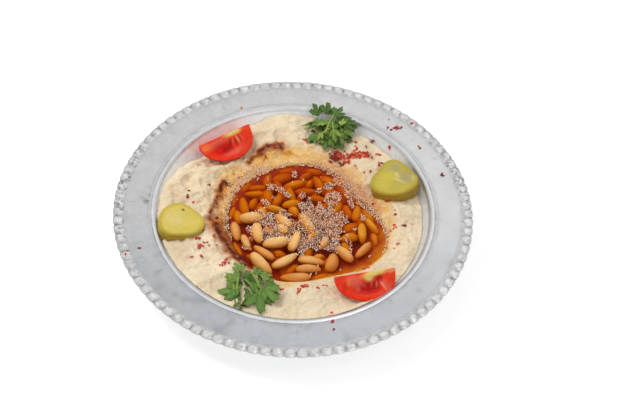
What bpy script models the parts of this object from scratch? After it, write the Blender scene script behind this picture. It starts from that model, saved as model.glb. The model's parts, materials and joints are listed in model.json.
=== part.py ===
"""Hummus served in a beaded metal plate, with butter, pine nuts, tomato, pickle and parsley.

Metres, +Z up. The origin is the centre of the plate's foot, on the table. +Y points away from
the diner and +X to the right. The plate is turned, the hummus fills its well and holds a hollow
with melted butter and pine nuts, and the toppings are pressed a little way into the hummus.
"""
import math

import bmesh
import bpy
from mathutils import Matrix, Vector

MM = 0.001
GAP = 0.3 * MM              # left between pieces that touch
CUTTER_GROWTH = 2 * GAP     # keeps the gap beside a sharp edge too
FULL_TURN = 2 * math.pi

# Plate
PLATE_RADIUS = 110 * MM
PLATE_SHEET = 1.2 * MM
RIM_HEIGHT = 22 * MM
RIM_INNER_RADIUS = 87.5 * MM
RIM_OUTER_RADIUS = 104 * MM
LIP_RADIUS = 85.3 * MM
LIP_RISE = 0.5 * MM
FLOOR_RADIUS = 62 * MM
BEADS = 96
BEAD_RISE = 1.8 * MM
BEAD_NOTCH = 1.3 * MM
# Radius and height of the well's wall, from the floor up to under the lip
WELL_WALL = [(68.5 * MM, 2.6 * MM), (73.5 * MM, 6.5 * MM), (76.9 * MM, 11.5 * MM),
             (80.0 * MM, 16 * MM), (83.0 * MM, 20.3 * MM)]

# Hummus
SECTORS = 60
WALL_GAP = 0.45 * MM
EDGE_HEIGHT = 18 * MM        # where the hummus meets the wall, on average
EDGE_TILT = 2.5 * MM         # it is higher on the left than on the right
EDGE_TILT_ANGLE = math.radians(195)
BARE_WALL_DEPTH = 9.5 * MM   # it stands lower at the back left, where the wall shows
BARE_WALL_ANGLE = math.radians(134)
BARE_WALL_SPREAD = math.radians(21)
MOUND = 1.6 * MM
LUMP = 0.7 * MM

# Butter pool
POOL_CENTRE = Vector((8 * MM, -5 * MM))
POOL_RADIUS = 46.5 * MM
POOL_WAVES = [(1, 1.9 * MM, -164), (2, 2.5 * MM, -68), (3, 2.6 * MM, -52), (4, 1.9 * MM, -66)]
POOL_LEVEL = 14.5 * MM
SHORE_DROP = 0.9 * MM        # depth of the butter at its edge
HOLLOW_DEPTH = 7.5 * MM
POOL_RINGS = [0.35, 0.65, 0.88, 1.0]
SHORE_RINGS = [0.1, 0.26, 0.45, 0.64, 0.82, 1.0]
WALL_RINGS = [0.35, 0.75, 1.0]

# Pine nuts that stand out of the butter
NUTS_CENTRE = Vector((6 * MM, -24 * MM))
NUTS_RADIUS = 27 * MM
NUTS_WAVES = [(2, 7.6 * MM, -8), (3, 1.2 * MM, 20), (7, 0.9 * MM, 0)]
NUTS_RISE = 2.2 * MM
NUTS_LUMP = 0.7 * MM
NUTS_SECTORS = 36
NUTS_RINGS = [0.35, 0.7, 1.0]

# Tomato wedges: middle of the core line, and the line's heading seen from above
TOMATO_HALF_LENGTH = 18.3 * MM
TOMATO_DEPTH = 17 * MM
TOMATO_ANGLE = math.radians(58)
TOMATO_FACE_SLOPE = math.radians(40)
TOMATOES = {
    "tomato_wedge_back": (Vector((-47 * MM, 53 * MM, 27 * MM)), 36),
    "tomato_wedge_front": (Vector((44 * MM, -51 * MM, 27 * MM)), 15),
}

# Pickle slices: middle of the underside, radius, waves of the outline, thickness, tilt outwards
PICKLES = {
    "pickle_slice_right": (Vector((62.9 * MM, 27.6 * MM, 15.2 * MM)), 14.1 * MM,
                           [(3, 1.6 * MM, 285), (1, 0.4 * MM, 190)], 8.6 * MM, 9),
    "pickle_slice_left": (Vector((-68.5 * MM, -16.6 * MM, 17.2 * MM)), 13.6 * MM,
                          [(3, 0.9 * MM, -30), (2, 0.3 * MM, 30)], 6.6 * MM, 11),
}
PICKLE_SECTORS = 30
PICKLE_BEVEL = 1.1 * MM

# Parsley heaps: middle, half sizes along X and Y, height of the underside and of the top
PARSLEY = {
    "parsley_back": (Vector((21 * MM, 67 * MM)), Vector((16.5 * MM, 15.5 * MM)), 14.6 * MM, 30 * MM),
    "parsley_front": (Vector((-23.5 * MM, -65 * MM)), Vector((18 * MM, 14 * MM)), 16.2 * MM, 25 * MM),
}
PARSLEY_SEGMENTS = 22
PARSLEY_RINGS = 9

COLOURS = {
    "plate": ((0.60, 0.60, 0.60, 1), 0.35, 1.0),
    "hummus": ((0.80, 0.66, 0.46, 1), 0.55, 0.0),
    "butter": ((0.42, 0.10, 0.015, 1), 0.12, 0.0),
    "pine_nut": ((0.75, 0.45, 0.19, 1), 0.4, 0.0),
    "tomato": ((0.62, 0.05, 0.015, 1), 0.25, 0.0),
    "pickle": ((0.60, 0.50, 0.12, 1), 0.3, 0.0),
    "parsley": ((0.10, 0.19, 0.03, 1), 0.5, 0.0),
}


# Tools shared by the pieces

def clear_scene():
    for item in list(bpy.data.objects):
        bpy.data.objects.remove(item, do_unlink=True)


def new_collection(name):
    collection = bpy.data.collections.new(name)
    bpy.context.scene.collection.children.link(collection)
    return collection


def make_material(name):
    colour, roughness, metallic = COLOURS[name]
    material = bpy.data.materials.new(name)
    material.use_nodes = True
    shader = material.node_tree.nodes["Principled BSDF"]
    shader.inputs["Base Color"].default_value = colour
    shader.inputs["Roughness"].default_value = roughness
    shader.inputs["Metallic"].default_value = metallic
    material.diffuse_color = colour
    return material


def add_object(name, shape, collection, material=None):
    """Turn a bmesh into an object with its normals outwards and its round parts smooth."""
    bmesh.ops.recalc_face_normals(shape, faces=shape.faces)
    mesh = bpy.data.meshes.new(name)
    shape.to_mesh(mesh)
    shape.free()
    mesh.shade_smooth()
    mesh.set_sharp_from_angle(angle=math.radians(40))
    if material:
        mesh.materials.append(material)
    piece = bpy.data.objects.new(name, mesh)
    collection.objects.link(piece)
    return piece


def loft(first_point, rings, last_point):
    """A closed skin from a point, through rings of equal length, to another point."""
    shape = bmesh.new()
    start = shape.verts.new(first_point)
    loops = [[shape.verts.new(point) for point in ring] for ring in rings]
    end = shape.verts.new(last_point)
    count = len(rings[0])
    for i in range(count):
        j = (i + 1) % count
        shape.faces.new((start, loops[0][i], loops[0][j]))
        for upper, lower in zip(loops, loops[1:]):
            shape.faces.new((upper[i], lower[i], lower[j], upper[j]))
        shape.faces.new((loops[-1][i], end, loops[-1][j]))
    return shape


def wavy_radius(radius, waves, angle):
    return radius + sum(size * math.cos(count * angle - math.radians(phase)) for count, size, phase in waves)


def ring_point(centre, radius, angle, height):
    return Vector((centre.x + radius * math.cos(angle), centre.y + radius * math.sin(angle), height))


def angles(count):
    return [FULL_TURN * i / count for i in range(count)]


def cut(piece, cutter):
    modifier = piece.modifiers.new("Cut " + cutter.name, "BOOLEAN")
    modifier.operation = "DIFFERENCE"
    modifier.solver = "EXACT"
    modifier.object = cutter


# Plate

def inner_profile():
    """The plate's upper side, from the middle out to the bead's crest."""
    return [(0, PLATE_SHEET), (FLOOR_RADIUS, PLATE_SHEET)] + WELL_WALL + [
        (LIP_RADIUS, RIM_HEIGHT + LIP_RISE), (RIM_INNER_RADIUS, RIM_HEIGHT), (RIM_OUTER_RADIUS, RIM_HEIGHT)]


def outer_profile():
    """The plate's underside, from the bead in to the middle: the upper side, one sheet lower."""
    upper = inner_profile()
    lower = []
    for before, here, after in zip(upper, upper[1:], upper[2:]):
        along = Vector((after[0] - before[0], after[1] - before[1])).normalized()
        lower.append((here[0] + along.y * PLATE_SHEET, max(0.0, here[1] - along.x * PLATE_SHEET)))
    lower[0] = (FLOOR_RADIUS + PLATE_SHEET, 0.0)
    return [(RIM_OUTER_RADIUS, RIM_HEIGHT - PLATE_SHEET)] + lower[::-1] + [(0, 0)]


def wall_radius(height):
    """Radius of the well's wall at a height, or of the rim's edge above the lip."""
    wall = inner_profile()[1:-2]
    for (r0, z0), (r1, z1) in zip(wall, wall[1:]):
        if height <= z1:
            return r0 + (r1 - r0) * max(0.0, height - z0) / (z1 - z0)
    return PLATE_RADIUS


def make_plate(parts, cutters, material):
    bead = [(PLATE_RADIUS - 2.8 * MM, RIM_HEIGHT + BEAD_RISE), (PLATE_RADIUS, RIM_HEIGHT - 0.3 * MM),
            (PLATE_RADIUS - 1.2 * MM, RIM_HEIGHT - 1.7 * MM)]
    profile = inner_profile() + bead + outer_profile()
    shape = bmesh.new()
    points = [shape.verts.new((radius, 0, height)) for radius, height in profile]
    for a, b in zip(points, points[1:]):
        shape.edges.new((a, b))
    turned = add_object("plate_profile", shape, cutters)
    screw = turned.modifiers.new("Turn", "SCREW")
    screw.steps = BEADS
    screw.render_steps = BEADS
    screw.use_merge_vertices = True
    screw.merge_threshold = 0.00001
    graph = bpy.context.evaluated_depsgraph_get()
    mesh = bpy.data.meshes.new_from_object(turned.evaluated_get(graph))
    bpy.data.objects.remove(turned, do_unlink=True)

    shape = bmesh.new()
    shape.from_mesh(mesh)
    bpy.data.meshes.remove(mesh)
    outside = [edge for edge in shape.edges
               if all(vert.co.xy.length > RIM_OUTER_RADIUS + MM for vert in edge.verts)
               and abs(edge.verts[0].co.z - edge.verts[1].co.z) < MM / 100
               and abs(edge.verts[0].co.xy.length - edge.verts[1].co.xy.length) < MM / 100]
    made = bmesh.ops.subdivide_edges(shape, edges=outside, cuts=1, use_grid_fill=True)
    # The new points lie between two beads, where the edge is pinched in and pressed down
    for vert in [item for item in made["geom_inner"] if isinstance(item, bmesh.types.BMVert)]:
        vert.co.xy *= 1 - BEAD_NOTCH / PLATE_RADIUS
        if vert.co.z > RIM_HEIGHT:
            vert.co.z -= BEAD_NOTCH
    return add_object("plate", shape, parts, material)


# Hummus and butter

def edge_height(angle):
    away = (angle - BARE_WALL_ANGLE + math.pi) % FULL_TURN - math.pi
    bare = BARE_WALL_DEPTH * math.exp(-(away / BARE_WALL_SPREAD) ** 2)
    return EDGE_HEIGHT + EDGE_TILT * math.cos(angle - EDGE_TILT_ANGLE) - bare


def lumps(x, y):
    return LUMP * (math.sin(x / (5.2 * MM) + 1.7 * math.sin(y / (9 * MM)))
                   + math.sin(y / (4.6 * MM) + 1.3 * math.sin(x / (11 * MM))))


def shore_radius(angle):
    return wavy_radius(POOL_RADIUS, POOL_WAVES, angle)


def hollow_height(share):
    """Height of the hollow's floor at a share of the way from its middle to its shore."""
    return POOL_LEVEL - SHORE_DROP - HOLLOW_DEPTH * (1 - share ** 2.4)


def hollow_height_at(point):
    away = point.xy - POOL_CENTRE
    return hollow_height(min(1.0, away.length / shore_radius(math.atan2(away.y, away.x))))


def pool_ring(share, shrink, height):
    return [ring_point(POOL_CENTRE, share * (shore_radius(angle) - shrink), angle, height)
            for angle in angles(SECTORS)]


def mound_ring(share):
    """A ring of the hummus's top, at a share of the way from the shore to the wall."""
    ring = []
    for angle in angles(SECTORS):
        shore = ring_point(POOL_CENTRE, shore_radius(angle), angle, 0)
        top = edge_height(angle)
        edge = ring_point(Vector((0, 0)), wall_radius(top) - WALL_GAP, angle, 0)
        point = shore.lerp(edge, share)
        rise = share ** 0.6
        point.z = (POOL_LEVEL - SHORE_DROP) * (1 - rise) + top * rise
        point.z += (MOUND * 4 + lumps(point.x, point.y) * 4) * share * (1 - share)
        ring.append(point)
    return ring


def wall_ring(share):
    """A ring of the hummus's side, at a share of the way down the well's wall."""
    ring = []
    for angle in angles(SECTORS):
        height = edge_height(angle) * (1 - share) + (PLATE_SHEET + GAP) * share
        ring.append(ring_point(Vector((0, 0)), wall_radius(height) - WALL_GAP, angle, height))
    return ring


def make_hummus(parts, material):
    rings = [pool_ring(share, 0, hollow_height(share)) for share in POOL_RINGS]
    rings += [mound_ring(share) for share in SHORE_RINGS]
    rings += [wall_ring(share) for share in WALL_RINGS]
    top = Vector((POOL_CENTRE.x, POOL_CENTRE.y, hollow_height(0)))
    return add_object("hummus", loft(top, rings, Vector((0, 0, PLATE_SHEET + GAP))), parts, material)


def make_butter(parts, material):
    surface = [pool_ring(share, GAP, POOL_LEVEL) for share in (0.6, 1.0)]
    underside = [pool_ring(share, GAP, hollow_height(share) + GAP) for share in reversed(POOL_RINGS)]
    top = Vector((POOL_CENTRE.x, POOL_CENTRE.y, POOL_LEVEL))
    bottom = Vector((POOL_CENTRE.x, POOL_CENTRE.y, hollow_height(0) + GAP))
    return add_object("butter_pool", loft(top, surface + underside, bottom), parts, material)


# Pine nuts

def nuts_ring(share, grow=0.0):
    return [ring_point(NUTS_CENTRE, share * wavy_radius(NUTS_RADIUS, NUTS_WAVES, angle) + grow, angle, 0)
            for angle in angles(NUTS_SECTORS)]


def nuts_top(point, share):
    bumps = math.sin(point.x / (2.6 * MM)) * math.sin(point.y / (2.4 * MM) + point.x / (7 * MM))
    return POOL_LEVEL + NUTS_RISE * (1 - 0.8 * share ** 2) + NUTS_LUMP * bumps * (1 - 0.5 * share)


def make_pine_nuts(parts, material):
    rings = [nuts_ring(share) for share in NUTS_RINGS]
    for share, ring in zip(NUTS_RINGS, rings):
        for point in ring:
            point.z = nuts_top(point, share)
    underside = [nuts_ring(share) for share in reversed(NUTS_RINGS)]
    for ring in underside:
        for point in ring:
            point.z = hollow_height_at(point) + 2 * GAP
    middle = NUTS_CENTRE.to_3d()
    top = Vector((middle.x, middle.y, nuts_top(middle, 0)))
    bottom = Vector((middle.x, middle.y, hollow_height_at(middle) + 2 * GAP))
    return add_object("pine_nuts", loft(top, rings + underside, bottom), parts, material)


def make_nuts_cutter(cutters):
    """An upright plug, a gap wider than the nuts, that clears the butter round them."""
    shape = bmesh.new()
    low = [shape.verts.new(point) for point in nuts_ring(1, GAP)]
    face = shape.faces.new(low)
    grown = bmesh.ops.extrude_face_region(shape, geom=[face])
    top = [item for item in grown["geom"] if isinstance(item, bmesh.types.BMVert)]
    bmesh.ops.translate(shape, verts=top, vec=(0, 0, 2 * RIM_HEIGHT))
    return add_object("nuts_cutter", shape, cutters)


# Toppings, each made once as the piece and once, a little larger, as the cutter for the hummus

def keep_inside_wall(shape):
    """Draw in any point that would pass through the well's wall."""
    for vert in shape.verts:
        limit = wall_radius(vert.co.z) - 2 * WALL_GAP
        if vert.co.z < RIM_HEIGHT + LIP_RISE and vert.co.xy.length > limit:
            vert.co.xy *= limit / vert.co.xy.length


def tomato_shape(name):
    """Half the outline of a cut tomato, swept round its core line."""
    middle, heading = TOMATOES[name]
    shape = bmesh.new()
    steps = 16
    outline = []
    for i in range(steps + 1):
        turn = math.pi * i / steps
        across = TOMATO_HALF_LENGTH * math.cos(turn)
        depth = TOMATO_DEPTH * math.sin(turn) ** 0.85 * (1 + 0.1 * math.cos(turn))
        outline.append(shape.verts.new((across, depth, 0)))
    face = shape.faces.new(outline)
    start = Matrix.Rotation(math.pi + TOMATO_FACE_SLOPE, 3, "X")
    bmesh.ops.rotate(shape, verts=shape.verts, matrix=start, cent=(0, 0, 0))
    bmesh.ops.spin(shape, geom=[face] + list(face.edges) + list(face.verts), cent=(0, 0, 0),
                   axis=(1, 0, 0), angle=TOMATO_ANGLE, steps=6, use_merge=False, use_duplicate=False)
    bmesh.ops.remove_doubles(shape, verts=shape.verts, dist=MM / 100)
    place = Matrix.Translation(middle) @ Matrix.Rotation(math.radians(heading), 4, "Z")
    bmesh.ops.transform(shape, verts=shape.verts, matrix=place)
    return shape


def pickle_shape(name):
    """A thick slice with a rounded three-sided outline and softened edges."""
    middle, radius, waves, thickness, tilt = PICKLES[name]
    shape = bmesh.new()
    bmesh.ops.create_circle(shape, cap_ends=True, segments=PICKLE_SECTORS, radius=radius)
    for vert in shape.verts:
        angle = math.atan2(vert.co.y, vert.co.x)
        vert.co.xy *= wavy_radius(radius, waves, angle) / radius
    grown = bmesh.ops.extrude_face_region(shape, geom=list(shape.faces))
    top = [item for item in grown["geom"] if isinstance(item, bmesh.types.BMVert)]
    bmesh.ops.translate(shape, verts=top, vec=(0, 0, thickness))
    rims = [edge for edge in shape.edges if abs(edge.verts[0].co.z - edge.verts[1].co.z) < MM / 100]
    bmesh.ops.bevel(shape, geom=rims, offset=PICKLE_BEVEL, segments=2, profile=0.5, affect="EDGES")
    outward = math.atan2(middle.y, middle.x)
    lean = Matrix.Rotation(math.radians(-tilt), 4, (-math.sin(outward), math.cos(outward), 0))
    bmesh.ops.transform(shape, verts=shape.verts, matrix=Matrix.Translation(middle) @ lean)
    return shape


def parsley_shape(name):
    """A flattened, ragged heap of chopped leaves."""
    middle, half_size, low, high = PARSLEY[name]
    shape = bmesh.new()
    bmesh.ops.create_uvsphere(shape, u_segments=PARSLEY_SEGMENTS, v_segments=PARSLEY_RINGS, radius=1)
    for vert in shape.verts:
        angle = math.atan2(vert.co.y, vert.co.x)
        ragged = 1 + 0.07 * math.sin(5 * angle + 0.6) + 0.05 * math.sin(8 * angle + 4 * vert.co.z)
        vert.co.x *= half_size.x * ragged
        vert.co.y *= half_size.y * ragged
        lump = 1 + 0.12 * math.sin(vert.co.x / (3 * MM)) * math.cos(vert.co.y / (2.8 * MM))
        vert.co.z = (low + high) / 2 + vert.co.z * (high - low) / 2 * lump
    bmesh.ops.translate(shape, verts=shape.verts, vec=middle.to_3d())
    return shape


def make_topping(name, shaper, hummus, parts, cutters, material):
    shape = shaper(name)
    keep_inside_wall(shape)
    bmesh.ops.recalc_face_normals(shape, faces=shape.faces)
    larger = shape.copy()
    larger.normal_update()
    outwards = [(vert, vert.normal.copy()) for vert in larger.verts]
    for vert, normal in outwards:
        vert.co += normal * CUTTER_GROWTH
    cut(hummus, add_object(name + "_cutter", larger, cutters))
    return add_object(name, shape, parts, material)


def main():
    clear_scene()
    parts = new_collection("Hummus plate")
    cutters = new_collection("Cutters")
    materials = {name: make_material(name) for name in COLOURS}

    make_plate(parts, cutters, materials["plate"])
    hummus = make_hummus(parts, materials["hummus"])
    butter = make_butter(parts, materials["butter"])
    make_pine_nuts(parts, materials["pine_nut"])
    cut(butter, make_nuts_cutter(cutters))
    for name in TOMATOES:
        make_topping(name, tomato_shape, hummus, parts, cutters, materials["tomato"])
    for name in PICKLES:
        make_topping(name, pickle_shape, hummus, parts, cutters, materials["pickle"])
    for name in PARSLEY:
        make_topping(name, parsley_shape, hummus, parts, cutters, materials["parsley"])
    for cutter in cutters.objects:
        cutter.hide_render = True
        cutter.display_type = "WIRE"


main()
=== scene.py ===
"""Looks of a plate of hummus: a beaded metal plate, the spread hummus, melted butter with pine
nuts and froth, tomato wedges, pickle slices, chopped parsley and red pepper flakes.

Laid out as an add-on: each operator makes one piece, or one group of like pieces, from the
settings in its property group, and the panel in the sidebar lists them. Run as a script, it makes
every piece once. Shapes are worked out in millimetres and turned to metres as a mesh is made.
"""
import json
import math

import bmesh
import bpy
import numpy as np
from bpy.props import FloatProperty, IntProperty, PointerProperty
from mathutils import Matrix, Vector
from mathutils.bvhtree import BVHTree

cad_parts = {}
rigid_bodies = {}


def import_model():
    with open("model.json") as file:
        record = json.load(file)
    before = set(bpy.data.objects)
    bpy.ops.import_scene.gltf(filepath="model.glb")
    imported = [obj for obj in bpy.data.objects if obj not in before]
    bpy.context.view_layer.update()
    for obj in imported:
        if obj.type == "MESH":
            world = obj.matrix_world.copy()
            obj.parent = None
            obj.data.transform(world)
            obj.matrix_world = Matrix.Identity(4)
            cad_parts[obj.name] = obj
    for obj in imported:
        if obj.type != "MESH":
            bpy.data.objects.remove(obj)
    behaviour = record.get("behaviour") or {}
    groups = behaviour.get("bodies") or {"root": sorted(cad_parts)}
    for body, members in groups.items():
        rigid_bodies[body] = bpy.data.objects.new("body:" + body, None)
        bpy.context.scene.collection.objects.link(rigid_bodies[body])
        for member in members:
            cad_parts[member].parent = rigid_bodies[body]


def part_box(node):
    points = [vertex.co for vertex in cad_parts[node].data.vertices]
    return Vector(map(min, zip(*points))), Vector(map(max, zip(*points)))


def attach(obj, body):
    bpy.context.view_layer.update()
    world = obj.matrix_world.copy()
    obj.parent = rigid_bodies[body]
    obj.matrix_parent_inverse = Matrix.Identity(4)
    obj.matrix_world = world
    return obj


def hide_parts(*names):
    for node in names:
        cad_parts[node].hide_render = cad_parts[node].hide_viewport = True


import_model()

bl_info = {
    "name": "Hummus plate",
    "version": (1, 0, 0),
    "blender": (4, 5, 0),
    "location": "View3D > Sidebar > Hummus plate",
    "description": "Makes a beaded plate of hummus with butter, pine nuts and garnish",
    "category": "Add Mesh",
}

MM = 0.001
FULL_TURN = 2 * math.pi
BODY = "root"
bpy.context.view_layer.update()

# Plate, in millimetres: section of the upper side from the middle to the beads, and of the underside
PLATE_RADIUS = 110.0
RIM_HEIGHT = 22.0
RIM_OUTER_RADIUS = 103.6
UPPER_SECTION = [
    (0, 1.2), (20, 1.2), (40, 1.2), (56, 1.2), (62, 1.25), (66, 1.85), (68.5, 2.6), (71.2, 4.2), (73.5, 6.5),
    (75.4, 9.0), (76.9, 11.5), (78.5, 13.8), (80.0, 16.0), (81.6, 18.4), (82.7, 20.1), (83.5, 21.5),
    (84.2, 22.3), (85.0, 22.62), (85.7, 22.55), (86.3, 22.2), (86.8, 21.85), (87.1, 22.0), (87.5, 22.25),
    (87.9, 22.2), (88.5, 22.0), (90, 21.95), (93, 22.0), (96, 22.05), (99, 22.05), (101.5, 22.0),
    (103.0, 21.9)]
UNDER_SECTION = [
    (108.8, 20.3), (107, 20.7), (103, 20.8), (95, 20.8), (88, 20.8), (85, 20.9), (83.9, 19.6), (81.2, 15.6),
    (78.2, 11.2), (74.6, 5.8), (70.4, 2.2), (66.5, 0.75), (63.2, 0.0), (50, 0.0), (25, 0.0), (0, 0.0)]
EDGE_SECTION = [(PLATE_RADIUS - 0.2, 21.0), (PLATE_RADIUS - 0.6, 20.6)]
WALL_RADII = [62, 68.5, 73.5, 76.9, 80, 83, 85.3]
WALL_HEIGHTS = [1.2, 2.6, 6.5, 11.5, 16, 20.3, 22.5]

# Hummus and butter, in millimetres, as in the solid model
EDGE_HEIGHT = 18.0
EDGE_TILT = 2.5
TILT_HEADING = 195
BARE_WALL_DEPTH = 9.5
BARE_HEADING = 134
FAR_EDGE_LIFT = 2.2
FAR_EDGE_HEADING = 94
WALL_GAP = 0.45
MOUND = 1.6
LUMP = 0.7
POOL_CENTRE = np.array((8.0, -5.0))
POOL_RADIUS = 46.5
POOL_WAVES = [(1, 1.9, -164), (2, 2.5, -68), (3, 2.6, -52), (4, 1.9, -66)]
POOL_LEVEL = 14.5
SHORE_DROP = 0.9
HOLLOW_DEPTH = 7.5
WELL_FLOOR = 1.6
BUTTER_ABSORPTION = np.array((0.10, 0.36, 1.5))   # a millimetre, for red, green and blue
NUT_HALF_HEIGHT = 0.43                            # share of a nut's width
DROP_FROM = 50.0                                  # height from which rays look for the ground
NOISE_GRID = 64                                   # cells along each side, after which noise repeats
DARKEST = 0.003                                   # least value of a painted colour
SEEDS = {"beads": 5, "froth": 12, "deep nuts": 71, "tomatoes": 80, "pickles": 90, "parsley": 140,
         "flakes": 160, "nuts": 200, "leaves": 400, "small leaves": 600}
SEEDS_APART = 50                                  # between the leaves of the two heaps


# Tools shared by the pieces

def length(name, description, default):
    """A setting that is a length, with its default in millimetres."""
    return FloatProperty(name=name, description=description, default=default * MM, unit="LENGTH")


def unit(value):
    """The value, kept from 0 to 1."""
    return np.clip(value, 0, 1)


def band(value, middle, width):
    """Strength from 0 to 1 of a soft band round a middle value."""
    return np.exp(-((value - middle) / width) ** 2)


def around_circle(count):
    """Angles all round a circle, and the unit vectors that point along them."""
    angle = np.arange(count) * FULL_TURN / count
    return angle, np.stack([np.cos(angle), np.sin(angle)], axis=-1)


def noise(x, y, cell, seed):
    """Smooth random values from about -1 to 1, from two crossed grids with cells of that size."""
    random = np.random.default_rng(seed)
    total = 0
    for turn in (0.4 + seed, 2.1 + seed):
        grid = random.uniform(-1, 1, (NOISE_GRID, NOISE_GRID))
        u = (x * math.cos(turn) - y * math.sin(turn)) / cell
        v = (x * math.sin(turn) + y * math.cos(turn)) / cell
        i, j = np.floor(u).astype(int), np.floor(v).astype(int)
        u, v = u - i, v - j
        u, v = u * u * (3 - 2 * u), v * v * (3 - 2 * v)
        i, j, next_i, next_j = (index % NOISE_GRID for index in (i, j, i + 1, j + 1))
        low = grid[i, j] * (1 - u) + grid[next_i, j] * u
        high = grid[i, next_j] * (1 - u) + grid[next_i, next_j] * u
        total = total + 0.75 * (low * (1 - v) + high * v)
    return total


def brush(x, y, spot):
    """Strength from 0 to 1 of a soft oval spot (middle x, y, half sizes along and across, heading)."""
    middle_x, middle_y, along, across, heading = spot
    turn = math.radians(heading)
    u = (x - middle_x) * math.cos(turn) + (y - middle_y) * math.sin(turn)
    v = (y - middle_y) * math.cos(turn) - (x - middle_x) * math.sin(turn)
    return np.exp(-((u / along) ** 2 + (v / across) ** 2) ** 1.5)


def trail(x, y, places, half_width):
    """Strength from 0 to 1 of a soft line through the places."""
    nearest = np.full(np.shape(x), 1e9)
    for (x0, y0), (x1, y1) in zip(places, places[1:]):
        along = ((x - x0) * (x1 - x0) + (y - y0) * (y1 - y0)) / ((x1 - x0) ** 2 + (y1 - y0) ** 2)
        along = unit(along)
        nearest = np.minimum(nearest, np.hypot(x - x0 - along * (x1 - x0), y - y0 - along * (y1 - y0)))
    return np.exp(-(nearest / half_width) ** 2)


def blend(below, above, share):
    """Colours or numbers mixed by a share given for each point."""
    share = unit(np.asarray(share))
    if np.ndim(below) and np.shape(below)[-1] == 3:
        share = share[..., None]
    return below * (1 - share) + np.asarray(above) * share


def skin(rings, start, end):
    """Points and faces of a closed skin from a point, through rings of equal length, to a point."""
    rings = np.asarray(rings, dtype=float)
    count, length = rings.shape[:2]
    points = np.vstack([[start], rings.reshape(-1, 3), [end]])
    here = range(1, length + 1)
    following = list(range(2, length + 1)) + [1]
    faces = [(0, a, b) for a, b in zip(here, following)]
    for row in range(count - 1):
        low, high = row * length, (row + 1) * length
        faces += [(a + low, a + high, b + high, b + low) for a, b in zip(here, following)]
    low = (count - 1) * length
    faces += [(a + low, len(points) - 1, b + low) for a, b in zip(here, following)]
    return points, faces


def join(shapes):
    """Several (points, faces, colours) as one."""
    points, faces, colours, offset = [], [], [], 0
    for some_points, some_faces, some_colours in shapes:
        points.append(some_points)
        colours.append(some_colours)
        faces += [tuple(index + offset for index in face) for face in some_faces]
        offset += len(some_points)
    return np.vstack(points), faces, np.vstack(colours)


def turned(points, heading=0.0, tilt=0.0, roll=0.0, place=(0, 0, 0)):
    """Points rolled about X, tilted about Y, turned to a heading about Z (degrees), then placed."""
    turn = (Matrix.Rotation(math.radians(heading), 3, "Z") @ Matrix.Rotation(math.radians(-tilt), 3, "Y")
            @ Matrix.Rotation(math.radians(roll), 3, "X"))
    return points @ np.array(turn).T + np.array(place)


def tint_mesh(mesh, colours):
    """Keep a colour for each point of the mesh."""
    tint = mesh.color_attributes.new(name="tint", type="FLOAT_COLOR", domain="POINT")
    values = np.ones((len(colours), 4), dtype=np.float32)
    values[:, :3] = colours
    tint.data.foreach_set("color", values.ravel())


def add_piece(name, points, faces, colours, material):
    """An object at the origin from points in millimetres, with a colour at each point."""
    mesh = bpy.data.meshes.new(name)
    mesh.from_pydata((np.asarray(points) * MM).tolist(), [], faces)
    tint_mesh(mesh, np.clip(colours, DARKEST, 1))
    shape = bmesh.new()
    shape.from_mesh(mesh)
    bmesh.ops.recalc_face_normals(shape, faces=shape.faces)
    shape.to_mesh(mesh)
    shape.free()
    mesh.shade_smooth()
    mesh.materials.append(material)
    piece = bpy.data.objects.new(name, mesh)
    bpy.context.collection.objects.link(piece)
    return piece


def settle(piece, slot, *nodes):
    """The piece rides on the body and may stand for CAD nodes, which are hidden. The slot is not used."""
    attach(piece, BODY)
    if nodes:
        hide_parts(*nodes)


def ground_trees(context, *names):
    """The named pieces, ready for looking for the ground."""
    graph = context.evaluated_depsgraph_get()
    return [BVHTree.FromObject(bpy.data.objects[name], graph) for name in names]


def ground_height(trees, x, y):
    """Height of the highest ground at a place, or 0 where there is none."""
    start, down = Vector((x * MM, y * MM, DROP_FROM * MM)), Vector((0, 0, -1))
    hits = [tree.ray_cast(start, down)[0] for tree in trees]
    return max(hit.z / MM if hit else 0 for hit in hits)


def select_only(piece):
    """Make the piece the one that is selected and active."""
    bpy.ops.object.select_all(action="DESELECT")
    piece.select_set(True)
    bpy.context.view_layer.objects.active = piece


# Materials: the colour painted at each point, times a fine pattern, with the pattern as bump

def principled(name, **values):
    """A material with its tree and shader, with values for the shader's sockets."""
    material = bpy.data.materials.new(name)
    material.use_nodes = True
    shader = material.node_tree.nodes["Principled BSDF"]
    for socket, value in values.items():
        shader.inputs[socket.replace("_", " ")].default_value = value
    return material, material.node_tree, shader


def pattern(tree, scale, detail=3.0, distortion=0.0):
    """Noise over the object's own coordinates, in features a metre."""
    coordinates = tree.nodes.new("ShaderNodeTexCoord")
    texture = tree.nodes.new("ShaderNodeTexNoise")
    texture.inputs["Scale"].default_value = scale
    texture.inputs["Detail"].default_value = detail
    texture.inputs["Distortion"].default_value = distortion
    tree.links.new(coordinates.outputs["Object"], texture.inputs["Vector"])
    return texture.outputs["Fac"]


def ranged(tree, value, low, high, start=0.3, stop=0.7):
    """The value, spread from start..stop to low..high."""
    node = tree.nodes.new("ShaderNodeMapRange")
    node.inputs["From Min"].default_value = start
    node.inputs["From Max"].default_value = stop
    node.inputs["To Min"].default_value = low
    node.inputs["To Max"].default_value = high
    tree.links.new(value, node.inputs["Value"])
    return node.outputs["Result"]


def paint(tree, shader, shades):
    """Base colour from the painted points, darkened or lightened by each shade."""
    attribute = tree.nodes.new("ShaderNodeVertexColor")
    attribute.layer_name = "tint"
    colour = attribute.outputs["Color"]
    for shade in shades:
        mix = tree.nodes.new("ShaderNodeVectorMath")
        mix.operation = "SCALE"
        tree.links.new(colour, mix.inputs[0])
        tree.links.new(shade, mix.inputs["Scale"])
        colour = mix.outputs["Vector"]
    tree.links.new(colour, shader.inputs["Base Color"])


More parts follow.
